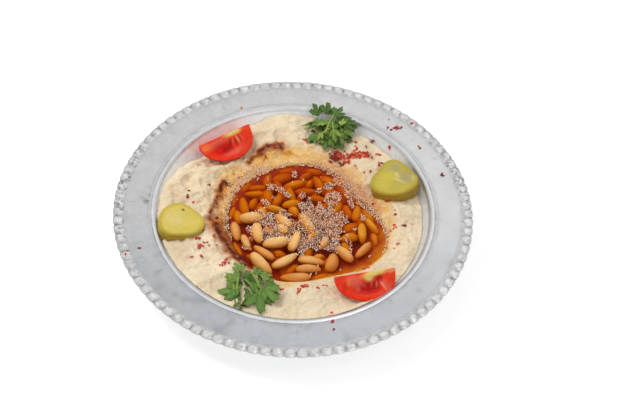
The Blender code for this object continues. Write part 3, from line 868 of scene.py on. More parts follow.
NUTS_SUNK = [
    (-13.8, -12.0, -52, 9, 4.4, 0.6), (-6.2, -29.2, -20, 8, 5.0, 0.1), (18.5, -45.2, 18, 10, 4.6, 0.3),
    (17.2, -30.0, 12, 7, 4.8, 0.4), (10.6, -27.4, 80, 8.5, 4.8, 0.1), (33.8, -21.6, -55, 9, 3.8, 0.5),
    (-24.3, 22.6, 8, 11.5, 4.2, 0.35), (-25.0, 17.3, 5, 12, 5.0, 0.5), (-31.0, 7.2, -74, 14.5, 5.6, 0.3),
    (-34.5, -1.6, -63, 12, 5.0, 0.6), (-37.2, 11.6, 80, 14, 3.8, 0.0), (-25.0, 9.4, 75, 9.5, 4.6, 0.0),
    (-16.6, 15.6, -80, 11.5, 6.0, 0.3), (-10.2, 14.0, 70, 11, 5.8, 0.25), (-11.2, 6.0, -15, 13.5, 5.6, 0.9),
    (-19.4, 3.2, -55, 9, 5.0, 0.4), (-17.0, 30.2, 86, 13, 5.0, 0.3), (-8.0, 32.2, 28, 14.5, 6.4, 0.1),
    (-11.3, 25.2, -75, 10, 4.6, 0.0), (5.8, 34.6, 40, 9, 5.2, 0.15), (0.2, 26.6, 24, 17, 5.4, 0.4),
    (6.8, 22.4, 3, 13.5, 4.6, 0.05), (-2.0, 18.2, -70, 14, 4.8, 0.45), (-1.6, 10.6, 16, 11.5, 4.8, 0.8),
    (0.2, 4.6, -52, 8, 5.0, 0.7), (15.0, 27.8, -62, 14.5, 5.4, 0.3), (21.4, 32.2, -18, 14, 6.4, 0.0),
    (33.6, 20.6, -55, 17, 5.2, 0.3), (15.2, 16.4, -6, 11, 5.0, 0.2), (15.8, 8.2, 82, 9.5, 6.0, 0.05),
    (26.2, 8.6, 64, 12.5, 5.6, 0.8), (29.2, 2.2, -75, 9, 4.4, 0.0), (33.6, 7.4, -68, 11, 5.6, 0.0),
    (39.0, 6.6, 84, 12, 5.0, 0.7), (46.2, 5.2, -55, 12, 4.2, 0.5), (48.8, -3.4, -54, 14, 5.0, 0.85),
    (35.8, -5.2, 35, 11, 6.0, 0.05), (43.0, -9.6, -86, 15, 5.6, 0.75), (35.0, -13.8, 18, 11, 5.0, 0.7),
    (-32.6, -27.4, -60, 14, 4.4, 0.25), (-24.2, -41.6, -46, 12, 4.0, 0.2), (1.6, -40.4, 40, 10, 5.0, 0.1),
    (21.5, 22.5, 60, 9, 4.6, 0.0), (9.0, 28.5, 70, 8, 4.6, 0.0), (22.0, -2.0, 30, 12, 5.2, 0.3),
    (8.5, 2.0, 10, 11, 5.2, 0.3), (25.0, -12.0, -40, 12, 5.2, 0.4), (12.0, -14.0, 60, 12, 5.2, 0.4),
    (-6, 38.5, 12, 12, 5.0, 0.0), (11, 38.6, -8, 11, 4.6, 0.0), (-22, 34.5, 42, 12, 4.6, 0.0),
    (-31.5, 22, 52, 11, 4.4, 0.0), (29, 30, -42, 12, 4.8, 0.1), (39.5, 16.5, -55, 11, 4.6, 0.1),
    (-38, 0, 78, 11, 4.0, 0.0), (50.5, -14, -78, 10, 4.0, 0.2), (-7.5, 20, 60, 9, 4.6, 0.0),
    (21, 12, 20, 9, 4.6, 0.1), (-22, -33.5, -20, 10, 4.2, 0.1), (27, 15, -50, 10, 4.6, 0.0)]


NUT_SECTIONS = (0.012, 0.05, 0.12, 0.22, 0.34, 0.46, 0.58, 0.70, 0.80, 0.88, 0.95, 0.988)
NUT_SIDES = 18
DEEP_NUTS = 46                # under the ones that are laid one by one
DEEP_NUT_REACH = 40
# What the lengths and widths in the lists are multiplied by
SUNK_SCALE, ABOVE_SCALE = (1.07, 1.22), (1.05, 1.14)
# The ridge colour is a painted highlight along the top of a nut.
NUT_COLOURS = {
    "toasted": (0.63, 0.205, 0.02), "pale": (0.815, 0.445, 0.138), "sunk toasted": (0.76, 0.26, 0.022),
    "sunk pale": (0.77, 0.35, 0.036), "streak": (0.58, 0.22, 0.035), "buttered": (0.62, 0.19, 0.018),
    "side": (0.66, 0.24, 0.03), "ridge": (0.89, 0.59, 0.26), "tip": (0.55, 0.17, 0.02)}


def nut_level(number, nut):
    """Height of the middle of a nut that stands out of the butter."""
    return POOL_LEVEL - 0.6 + 1.3 * nut[5] + 0.3 * math.sin(2.4 * number)


def nut_above(x, y):
    """Whether a nut that stands out of the butter covers each place."""
    covered = np.zeros(len(x), dtype=bool)
    for middle_x, middle_y, heading, length, width, _ in NUTS_ABOVE:
        covered |= brush(x, y, (middle_x, middle_y, length / 2, width / 2, heading)) > 0.42
    return covered


def nut_shape(length, width, seed):
    """A pine nut along X: blunt at one end, drawn out at the other, a little bent and flattened."""
    random = np.random.default_rng(seed)
    rings = []
    angle, _ = around_circle(NUT_SIDES)
    bend, dent = random.uniform(-0.8, 0.8), random.uniform(0.02, 0.10)
    for share in NUT_SECTIONS:
        swell = math.sin(math.pi * share ** 0.9) ** 0.4 * (1.03 - 0.12 * share)
        round_y = width / 2 * 1.04 * swell * (1 - dent * np.cos(3 * angle + seed))
        round_z = width * NUT_HALF_HEIGHT * swell
        middle_y = bend * math.sin(math.pi * share)
        rings.append(np.column_stack([np.full(NUT_SIDES, (share - 0.5) * length),
                                      middle_y + round_y * np.cos(angle), round_z * np.sin(angle)]))
    return skin(rings, (-length / 2, 0, 0), (length / 2, 0, 0))


def coloured_nut(number, nut, height, sunk):
    """One nut with its toasted colour and, where it stands out of the butter, a painted highlight along its
    top, tinted where the butter covers it.
    """
    x, y, heading, length, width, paleness = nut
    random = np.random.default_rng(SEEDS["nuts"] + number + 100 * sunk)
    longer, wider = SUNK_SCALE if sunk else ABOVE_SCALE
    length, width = length * longer, width * wider
    points, faces = nut_shape(length, width, number + 300 * sunk)
    side = random.choice((0, 180))
    along = points[:, 0] / length + 0.5
    place = turned(points, heading + side, random.uniform(-5, 5), random.uniform(0, 360), (x, y, height))
    toasted, pale = ("sunk toasted", "sunk pale") if sunk else ("toasted", "pale")
    colours = np.tile(NUT_COLOURS[toasted], (len(points), 1))
    colours = blend(colours, NUT_COLOURS[pale], np.full(len(points), paleness))
    streak = noise(along * 3, points[:, 1] / width * 7 + number * 7, 1, 60)
    streak = streak + 0.5 * noise(along * 9, points[:, 1], 1, 61)
    drawn_end = unit(along * 4 - 3) * (1 - 0.5 * paleness)
    colours = blend(colours, NUT_COLOURS["streak"], 0.36 * streak + 0.55 * drawn_end)
    over = place[:, 2] - POOL_LEVEL
    colours = blend(colours, NUT_COLOURS["buttered"], unit(1.0 - over / 2.5) * (0.3 if sunk else 0.9))
    if not sunk:
        rise = (place[:, 2] - height) / (width * NUT_HALF_HEIGHT)
        colours = blend(colours, NUT_COLOURS["side"], unit(1.0 - 1.35 * rise) * (0.85 - 0.3 * paleness))
        # Painted highlight: a lighter band along the top of each nut.
        colours = blend(colours, NUT_COLOURS["ridge"], unit(3 * rise - 2.1) * (0.16 + 0.28 * paleness))
    tips = unit(np.abs(2 * along - 1) * 3 - 2.1) * (0.75 - 0.35 * paleness)
    colours = blend(colours, NUT_COLOURS["tip"], tips)
    depth = np.maximum(-over, 0)
    depth = depth + (over < 0.1) * (0.9 - 0.8 * paleness if sunk else 0.5)
    depth = depth + sunk * 1.1 * min(max((y - 5) / 25, 0), 1)
    return place, faces, butter_tint(colours, depth)


class HUMMUS_OT_pine_nuts(bpy.types.Operator):
    """Lay the pine nuts in the butter, some sunk and some standing out of it"""
    bl_idname = "hummus.pine_nuts"
    bl_label = "Pine nuts"

    def execute(self, context):
        above = [coloured_nut(number, nut, nut_level(number, nut), 0)
                 for number, nut in enumerate(NUTS_ABOVE)]
        sunk = []
        for number, nut in enumerate(NUTS_SUNK):
            height = POOL_LEVEL - nut[4] * NUT_HALF_HEIGHT - 0.2 - 0.9 * (1 - nut[5])
            sunk.append(coloured_nut(number, nut, height, 1))
        random = np.random.default_rng(SEEDS["deep nuts"])
        for number in range(DEEP_NUTS):
            reach, turn = DEEP_NUT_REACH * math.sqrt(random.uniform(0, 1)), random.uniform(0, FULL_TURN)
            nut = (POOL_CENTRE[0] + reach * math.cos(turn), POOL_CENTRE[1] + reach * math.sin(turn),
                   random.uniform(0, 180), random.uniform(11, 14), random.uniform(4.6, 5.6), 0.0)
            bottom = hollow_height(min(1, reach / 44))
            sunk.append(coloured_nut(100 + number, nut, min(bottom + 2.2, POOL_LEVEL - 4.8), 1))
        wet = food_finish("pine_nut", 900, 0.06, 0.03, Roughness=0.28, Specular_IOR_Level=0.25)
        settle(add_piece("pine_nuts_above", *join(above), wet), "pine_nut", "pine_nuts")
        covered = food_finish("pine_nut_sunk", 900, 0.06, 0.03, Roughness=0.6, Specular_IOR_Level=0.0)
        settle(add_piece("pine_nuts_sunk", *join(sunk), covered), "pine_nut")
        return {"FINISHED"}


# Tomato wedges: middle of the core line, heading, and paint on the cut face, which has place along
# the core line, depth from it, half sizes, heading, strength, colour name and height of the relief
TOMATO_COLOURS = {
    "flesh": (0.88, 0.045, 0.010), "outer": (0.94, 0.035, 0.004), "gel": (0.50, 0.005, 0.002),
    "pink": (0.86, 0.12, 0.075), "core": (0.86, 0.62, 0.17), "pale": (0.92, 0.32, 0.16),
    "dark": (0.34, 0.004, 0.003), "bright": (0.80, 0.010, 0.003), "orange": (0.97, 0.18, 0.04),
    "edge": (0.66, 0.02, 0.004), "skin": (0.60, 0.012, 0.003), "light skin": (0.72, 0.030, 0.005)}
TOMATO_HALF_LENGTH = 18.3
TOMATO_DEPTH = 17.0
TOMATO_ANGLE = 58
TOMATO_FACE_SLOPE = 40
TOMATO_WALL = 3.4
TOMATOES = {
    "tomato_wedge_back": ((-47, 53, 27), 36, [
        (-4, 8.5, 7.5, 4.2, 12, 0.9, "bright", -0.9), (-1, 10.5, 4.5, 2.6, 40, 0.85, "gel", -0.6),
        (-6, 3.2, 9, 2.2, -8, 0.7, "pink", 0.4), (6, 1.2, 6, 1.5, 0, 0.95, "core", 0.2),
        (2.2, 6.6, 1.3, 3.0, 24, 0.55, "dark", -0.8), (5.6, 7.4, 1.1, 3.4, -8, 0.5, "dark", -0.6),
        (8.8, 6.0, 0.9, 2.6, -20, 0.45, "dark", -0.6), (3.9, 5.6, 0.9, 2.4, 14, 0.5, "pink", 0.7),
        (7.3, 5.8, 0.8, 2.6, -6, 0.6, "pale", 0.6), (10.6, 6.8, 0.8, 2.2, -20, 0.5, "pink", 0.5),
        (3, 12.6, 8, 1.9, 0, 0.6, "pink", 0.2), (-15, 3, 3.6, 3, 0, 0.7, "orange", 0.1),
        (13, 5, 2.6, 5, 10, 0.5, "flesh", 0.1)]),
    "tomato_wedge_front": ((44, -51, 27.4), 15, [
        (1.5, 9.4, 7.6, 3.6, 2, 0.97, "gel", -1.0), (-6.5, 4.6, 5.0, 2.8, 20, 0.85, "pink", 0.4),
        # The orange spot at -10.5 along the core line is a painted highlight.
        (-5.0, 8.6, 1.6, 2.2, 0, 0.6, "pink", 0.2), (-10.5, 4.6, 1.8, 2.0, 0, 0.9, "orange", 0.3),
        (-13.0, 6.5, 1.5, 4.5, 20, 0.5, "bright", 0.0), (6.5, 1.3, 8.2, 1.6, -6, 0.98, "core", 0.3),
        (2.2, 3.4, 2.4, 2.2, 0, 0.9, "core", 0.2), (8.6, 5.6, 2.2, 2.4, 0, 0.95, "gel", -1.0),
        (3.6, 6.8, 0.7, 2.6, 8, 0.55, "pink", 0.8), (6.4, 7.8, 0.5, 1.8, 10, 0.5, "pale", 0.5),
        (-1.4, 7.6, 1.6, 1.0, 40, 0.4, "pink", 0.6), (11.6, 9.0, 2.4, 4.0, -20, 0.75, "pink", 0.3),
        (10.2, 9.4, 0.6, 3.2, -28, 0.7, "pale", 0.3),
        (13.6, 4.6, 2.4, 4.0, 10, 0.6, "flesh", 0.2), (15.5, 1.4, 3.2, 1.1, 0, 0.6, "pale", 0.1)]),
}


def tomato_shape(paint_spots, seed):
    """A wedge along X from its left tip: cut face, skin and hidden cut face, with its colours."""
    columns, face_rows, skin_rows, hidden_rows = 110, 56, 20, 18
    start = math.radians(180 + TOMATO_FACE_SLOPE)
    stop = math.radians(180 + TOMATO_FACE_SLOPE + TOMATO_ANGLE)
    share = np.concatenate([np.linspace(0, 1, face_rows), np.ones(skin_rows),
                            np.linspace(1, 0.03, hidden_rows)])
    turn = np.concatenate([np.full(face_rows, start), np.linspace(start, stop, skin_rows + 2)[1:-1],
                           np.full(hidden_rows, stop)])
    row = np.arange(len(share))
    hidden = row >= face_rows + skin_rows
    on_skin = (row >= face_rows) & ~hidden
    near_edge = on_skin & (np.abs(turn - (start + stop) / 2) > (stop - start) * 0.44)
    normal = np.where(hidden, stop, start) - math.pi / 2
    rings, paints = [], []
    for t in (np.arange(columns) + 0.5) * math.pi / columns:
        reach = TOMATO_DEPTH * math.sin(t) ** 0.72 * (1 + 0.12 * math.cos(t))
        depth = reach * share
        x = np.full(len(share), TOMATO_HALF_LENGTH * math.cos(t))
        wall = unit(1 - (reach - depth) / TOMATO_WALL)
        vein = noise(x, depth, 2.4, seed)
        colours = np.tile(TOMATO_COLOURS["flesh"], (len(share), 1))
        colours = blend(colours, TOMATO_COLOURS["outer"], unit(wall * 2))
        colours = blend(colours, TOMATO_COLOURS["pink"], unit(0.3 * vein))
        relief = 0.12 * vein
        for *spot, strength, name, height in paint_spots:
            amount = unit(strength * brush(x, depth, spot) * 1.35 * (1 + 0.15 * vein))
            colours = blend(colours, TOMATO_COLOURS[name], amount)
            relief = relief + height * amount
        relief = relief * unit((reach - depth) / 1.2) * unit(depth / 0.8)
        colours = blend(colours, TOMATO_COLOURS["edge"], unit(1.6 - (reach - depth) / 0.5))
        skin_tone = blend(np.tile(TOMATO_COLOURS["skin"], (len(share), 1)), TOMATO_COLOURS["light skin"],
                          0.5 + 0.5 * noise(x, turn * 14, 5, seed + 1))
        colours[on_skin] = skin_tone[on_skin]
        relief[on_skin] = 0
        relief[hidden] *= -1
        radius = depth - 0.35 * near_edge
        rings.append(np.column_stack([x, radius * np.cos(turn) + relief * np.cos(normal),
                                      radius * np.sin(turn) + relief * np.sin(normal)]))
        paints.append(colours)
    tip = np.array([TOMATO_COLOURS["outer"]])
    points, faces = skin(rings, (TOMATO_HALF_LENGTH, 0, 0), (-TOMATO_HALF_LENGTH, 0, 0))
    return points, faces, np.vstack([tip, *paints, tip])


class HUMMUS_OT_tomatoes(bpy.types.Operator):
    """Set the two tomato wedges, skin side down"""
    bl_idname = "hummus.tomatoes"
    bl_label = "Tomato wedges"

    def execute(self, context):
        finish = food_finish("tomato", 700, 0.05, 0.05, Roughness=0.18, Specular_IOR_Level=0.12)
        for number, (name, (middle, heading, spots)) in enumerate(TOMATOES.items()):
            points, faces, colours = tomato_shape(spots, SEEDS["tomatoes"] + number)
            piece = add_piece(name + "_cut", turned(points, heading, place=middle), faces, colours, finish)
            settle(piece, "tomato", name)
        return {"FINISHED"}


# Pickle slices: middle of the underside, radius, waves of the outline, thickness, outward tilt,
# colours of the face, of its rim and of the side, then paint on the face
PICKLE_COLOURS = {"pale": (0.46, 0.40, 0.17), "clear": (0.41, 0.34, 0.13), "lime": (0.56, 0.47, 0.065),
                  "light": (0.68, 0.60, 0.26), "dark": (0.42, 0.34, 0.045), "black": (0.02, 0.015, 0.006),
                  "streak": (0.48, 0.34, 0.03)}
PICKLES = {
    "pickle_slice_right": ((62.9, 27.6, 15.2), 14.1, [(3, 1.3, 285), (4, 0.6, 20), (1, 0.4, 190)], 8.6, 9,
                           (0.50, 0.40, 0.062), (0.44, 0.33, 0.030), (0.30, 0.17, 0.008), [
        (0.5, 8.5, 4.2, 5.0, 0, 0.85, "clear"), (8.0, 1.2, 5.8, 4.8, 20, 0.95, "clear"),
        (2.6, -1.0, 5.0, 0.9, 150, 0.4, "light"), (-3.5, 2.6, 4.6, 3.6, 20, 0.9, "lime"),
        (-7.0, -4.5, 4.0, 5.0, 30, 0.4, "lime"), (12.0, 1.5, 1.2, 4.0, 0, 0.6, "light"),
        (7.0, 7.2, 4.2, 1.2, -45, 0.7, "dark"), (1.5, 3.2, 1.2, 2.4, 30, 0.5, "light")]),
    "pickle_slice_left": ((-68.3, -17.2, 17.8), 13.7, [(3, 0.9, -30), (2, 0.4, 30), (5, 0.2, 80)], 6.8, 8,
                          (0.66, 0.50, 0.095), (0.54, 0.40, 0.040), (0.34, 0.22, 0.015), [
        (0.6, 8.6, 0.9, 0.7, 0, 1.0, "black"), (-3, 1, 7, 6, 0, 0.35, "light"), (4, 4, 5, 4, 30, 0.3, "lime"),
        (3, -6, 5, 3, 0, 0.3, "lime")]),
}


PICKLE_SECTORS = 120
PICKLE_EDGE = 1.1             # radius of the rounded edge between face and side
PICKLE_DISH = 0.45            # how far the middle of the face has sunk


def pickle_shape(radius, waves, thickness, face, rim, side, spots, seed):
    """A slice from the middle of its top over a rounded edge and down its side, with its colours."""
    angle, outward = around_circle(PICKLE_SECTORS)
    outline = radius + sum(size * np.cos(count * angle - math.radians(phase))
                           for count, size, phase in waves)
    outline = outline + 0.25 * noise(outward[:, 0] * 12, outward[:, 1] * 12, 4, seed)
    # Rows: kind, share of the way over the face or distance beyond the outline, and height
    rows = [("face", share, thickness) for share in np.linspace(0.04, 0.9, 24)]
    rows += [("edge", -PICKLE_EDGE * (1 - math.sin(turn)), thickness - PICKLE_EDGE * (1 - math.cos(turn)))
             for turn in np.linspace(0, math.pi / 2, 6)]
    rows += [("side", 0.28 * math.sin(math.pi * drop),
              thickness * (1 - drop) + 0.6 * drop - PICKLE_EDGE * (1 - drop))
             for drop in np.linspace(0.1, 1, 8)]
    rings, paints = [], []
    for kind, step, height in rows:
        reach = (outline - PICKLE_EDGE) * step if kind == "face" else outline + step
        x, y = reach * np.cos(angle), reach * np.sin(angle)
        grain = noise(x, y, 2.6, seed + 1)
        if kind == "face":
            colours = np.tile(face, (PICKLE_SECTORS, 1))
            for *spot, strength, name in spots:
                colours = blend(colours, PICKLE_COLOURS[name], unit(1.3 * strength * brush(x, y, spot)))
            colours = blend(colours, rim, unit((step - 0.84) * 8))
            height = height - PICKLE_DISH * np.exp(-(reach / 8) ** 2) + 0.08 * grain
        elif kind == "edge":
            shaded = np.clip(-0.9 * np.sin(angle) - 0.15, 0, 0.8)
            colours = blend(np.tile(rim, (PICKLE_SECTORS, 1)), side, shaded)
            height = height + 0.02 * grain
        else:
            streak = noise(angle * 40, np.full(PICKLE_SECTORS, height / 3), 2, seed + 2)
            # Painted shade: the side is darker towards its foot.
            plain = blend(np.array(rim), np.array(side), 0.35 + 0.65 * (1 - height / thickness))
            colours = blend(np.tile(plain, (PICKLE_SECTORS, 1)), PICKLE_COLOURS["streak"],
                            unit(0.45 * streak))
        rings.append(np.column_stack([x, y, np.broadcast_to(height, PICKLE_SECTORS)]))
        paints.append(colours)
    points, faces = skin(rings, (0, 0, thickness - PICKLE_DISH), (0, 0, 0.6))
    return points, faces, np.vstack([paints[0][:1], *paints, paints[-1][:1]])


class HUMMUS_OT_pickles(bpy.types.Operator):
    """Set the two thick slices of pickle"""
    bl_idname = "hummus.pickles"
    bl_label = "Pickle slices"

    def execute(self, context):
        finish = food_finish("pickle", 500, 0.04, 0.05, Roughness=0.25, Specular_IOR_Level=0.25)
        for number, (name, slice_settings) in enumerate(PICKLES.items()):
            middle, radius, waves, thickness, tilt, *colours_and_spots = slice_settings
            points, faces, colours = pickle_shape(radius, waves, thickness, *colours_and_spots,
                                                  SEEDS["pickles"] + number)
            outward = math.atan2(middle[1], middle[0])
            lean = Matrix.Rotation(math.radians(-tilt), 3, (-math.sin(outward), math.cos(outward), 0))
            points = points @ np.array(lean).T + np.array(middle)
            piece = add_piece(name + "_cut", points, faces, colours, finish)
            settle(piece, "pickle", name)
        return {"FINISHED"}


# Parsley: x, y, z of a leaf's foot, heading, tilt up, roll, length, and tone from 0 dark to 1 light
LEAVES = {
    "parsley_back": [
        (12, 76, 25, 112, 20, -15, 11, 0.1), (17, 77, 26, 78, 18, 20, 11, 0.15),
        (22, 75, 27, 55, 5, 10, 11, 0.25), (12, 70, 23, 176, 0, 10, 10, 0.35),
        (14, 66, 27, 120, -5, -10, 10, 0.4), (19, 64, 28, 70, 2, 12, 11, 0.45),
        (27, 66, 28, 80, 15, -20, 6, 0.95), (27, 70, 26, 12, 0, 10, 12, 0.2),
        (25, 74, 25, 35, -6, -15, 11, 0.2), (15, 61, 26, 235, -20, 20, 7, 0.8),
        (12, 62, 22, 215, -12, 10, 9, 0.45), (22, 64, 27, 275, -14, 35, 11, 0.65),
        (26, 63, 25, 290, -18, -15, 10, 0.6), (18, 60, 23, 262, -16, 10, 10, 0.3),
        (29, 66, 24, 330, -12, 10, 8, 0.55), (17, 68, 28, 200, -4, 30, 7, 0.7),
        (20, 58, 24, 300, -18, -20, 8, 0.4), (24, 59, 22, 318, -16, 15, 9, 0.35)],
    "parsley_front": [
        (-27, -62, 22, 196, -2, 12, 14, 0.4), (-29, -58, 23, 152, -6, -14, 10, 0.45),
        (-29, -64, 21, 222, -3, 8, 12, 0.35), (-20, -54, 23, 60, -5, 18, 9, 0.5),
        (-17, -55, 23, 20, -8, -10, 9, 0.6), (-14, -58, 22, 350, -12, 12, 9, 0.45),
        (-13, -61, 22, 318, -3, 10, 12, 0.5), (-12, -64, 21, 262, -1, -14, 13, 0.55),
        (-21, -66, 20.5, 256, 0, 12, 10, 0.3), (-24, -56, 22, 100, -4, 10, 8, 0.35),
        (-20, -60, 23, 290, -2, 25, 9, 0.5), (-24, -62, 20, 240, -10, 10, 8, 0.2),
        (-15, -54, 21, 85, -10, 10, 7, 0.55), (-17.5, -66, 22, 283, 2, -6, 16, 0.35),
        (-14, -62, 22.5, 308, 0, 10, 14, 0.5), (-30, -66, 22, 180, -2, -10, 12, 0.5),
        (-27, -52, 23, 130, 2, 10, 10, 0.6)],
}
# Stems: first point, last point, rise of the arch, thickness, tone
STEMS = {
    "parsley_back": [
        ((17, 60, 26), (22, 76, 27), 2, 1.2, 0.85), ((23, 58, 24), (21, 68, 29), 1, 1.1, 0.8),
        ((27, 64, 22), (36, 61, 17.5), 1, 1.0, 0.4), ((12, 58, 22), (20, 64, 27), 1.5, 1.3, 0.8)],
    "parsley_front": [
        ((-29, -47, 18), (-30, -67, 21), 3.5, 1.8, 0.65), ((-24, -48, 18), (-15, -66, 22), 4, 2.0, 0.65),
        ((-27, -55, 20), (-18, -67, 20), 3, 1.6, 0.55), ((-17, -62, 22), (-15, -75, 18), 1.5, 0.9, 0.9),
        ((-22, -50, 19), (-12, -53, 21), 2, 1.4, 0.5)],
}
LEAF_DARK = np.array((0.050, 0.105, 0.011))
LEAF_MIDDLE = np.array((0.140, 0.250, 0.048))
LEAF_LIGHT = np.array((0.38, 0.46, 0.09))
LEAF_COUNT, LEAF_ROWS = 49, 7
LEAF_THICKNESS = 0.22
SMALL_LEAVES = 38
SMALL_LEAF_LENGTHS = (4.5, 8)
STEM_SIDES = 8
BARE_GAP = (-23, -65, 6)      # x, y and radius of the bare place in the front heap


def leaf_colour(tone):
    """Colour of a leaf or stem, from 0 dark to 1 light."""
    if tone < 0.5:
        return blend(LEAF_DARK, LEAF_MIDDLE, tone * 2)
    return blend(LEAF_MIDDLE, LEAF_LIGHT, tone * 2 - 1)


def leaf_shape(length, seed):
    """A flat parsley leaf from its foot at the origin along X: lobes with teeth, veins and a curl."""
    random = np.random.default_rng(seed)
    count, rows = LEAF_COUNT, LEAF_ROWS
    spread = math.radians(random.uniform(58, 80))
    angle = np.linspace(-spread, spread, count)
    vein = np.abs(np.cos(1.5 * math.pi * angle / spread))
    teeth = 1 - 0.15 * np.abs(np.sin(angle / spread * 10.5 + random.uniform(0, 3)))
    reach = length * (0.54 + 0.46 * vein ** 0.8) * teeth * (1 - 0.28 * np.abs(angle) / spread)
    reach = reach * random.uniform(0.92, 1.08, count)
    curl, fold = random.uniform(-0.016, 0.004), random.uniform(0.08, 0.22)
    points, colours = [], []
    for row in np.linspace(0.06, 1, rows):
        radius = reach * row
        x, y = radius * np.cos(angle), radius * np.sin(angle) * 0.82
        z = curl * radius ** 2 + fold * radius * (0.5 - vein) + 0.25 * noise(x + seed, y, 2.5, 120)
        points.append(np.column_stack([x, y, z]))
        colours.append(0.86 + 0.3 * vein ** 6 * (1 - row * 0.5) + 0.12 * noise(x, y + seed, 2, 121))
    points, shade = np.vstack(points), np.concatenate(colours)
    faces = [(row * count + i, row * count + i + 1, (row + 1) * count + i + 1, (row + 1) * count + i)
             for row in range(rows - 1) for i in range(count - 1)]
    return points, faces, shade


def stem_shape(first, last, arch, thickness):
    """A round stem between two points, arched and tapering."""
    rings = []
    first, last = np.array(first, dtype=float), np.array(last, dtype=float)
    along = (last - first) / np.linalg.norm(last - first)
    side = np.cross(along, (0, 0, 1))
    side /= np.linalg.norm(side)
    upward = np.cross(side, along)
    angle, _ = around_circle(STEM_SIDES)
    for share in np.linspace(0.02, 0.98, 12):
        middle = first * (1 - share) + last * share + np.array((0, 0, arch * math.sin(math.pi * share)))
        radius = thickness / 2 * (1 - 0.25 * share)
        rings.append(middle + radius * (np.cos(angle)[:, None] * side + np.sin(angle)[:, None] * upward))
    return skin(rings, first, last)


def placed_leaves(name, number):
    """The larger leaves of a heap, laid one by one."""
    for index, (x, y, z, heading, tilt, roll, length, tone) in enumerate(LEAVES[name]):
        points, faces, shade = leaf_shape(length, SEEDS["leaves"] + SEEDS_APART * number + index)
        yield turned(points, heading, tilt, roll, (x, y, z)), faces, shade[:, None] * leaf_colour(tone)


def strewn_leaves(name, number):
    """Small pieces of leaf, strewn over a heap's box, more in its middle."""
    random = np.random.default_rng(SEEDS["parsley"] + number)
    low, high = [np.array(corner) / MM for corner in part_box(name)]
    middle, half = (low + high) / 2, (high - low) / 2
    gap_x, gap_y, gap = BARE_GAP
    for index in range(SMALL_LEAVES):
        turn, reach = random.uniform(0, FULL_TURN), math.sqrt(random.uniform(0.02, 0.62))
        x = middle[0] + reach * half[0] * math.cos(turn)
        y = middle[1] + reach * half[1] * math.sin(turn)
        if name == "parsley_front" and math.hypot(x - gap_x, y - gap_y) < gap:
            continue
        z = low[2] + (high[2] - low[2]) * (0.72 - 0.5 * reach ** 2) * random.uniform(0.75, 1)
        seed = SEEDS["small leaves"] + SEEDS_APART * number + index
        points, faces, shade = leaf_shape(random.uniform(*SMALL_LEAF_LENGTHS), seed)
        tone = random.uniform(0, 0.45) if index % 5 else 0.8
        heading, tilt, roll = random.uniform(0, 360), random.uniform(-25, 25), random.uniform(-50, 50)
        yield turned(points, heading, tilt, roll, (x, y, z)), faces, shade[:, None] * leaf_colour(tone)


class HUMMUS_OT_parsley(bpy.types.Operator):
    """Scatter the two heaps of chopped parsley"""
    bl_idname = "hummus.parsley"
    bl_label = "Parsley"

    def execute(self, context):
        finish = food_finish("parsley", 1200, 0.12, 0.06, Roughness=0.42, Specular_IOR_Level=0.25)
        for number, name in enumerate(LEAVES):
            shapes = [*placed_leaves(name, number), *strewn_leaves(name, number)]
            sheet = add_piece(name + "_leaves", *join(shapes), finish)
            select_only(sheet)
            thicken = sheet.modifiers.new("Thickness", "SOLIDIFY")
            thicken.thickness = LEAF_THICKNESS * MM
            thicken.offset = 0
            bpy.ops.object.modifier_apply(modifier=thicken.name)
            settle(sheet, "parsley", name)
            stems = []
            for first, last, arch, thickness, tone in STEMS[name]:
                points, faces = stem_shape(first, last, arch, thickness)
                stems.append((points, faces, np.tile(leaf_colour(tone), (len(points), 1))))
            settle(add_piece(name + "_stems", *join(stems), finish), "parsley")
        return {"FINISHED"}


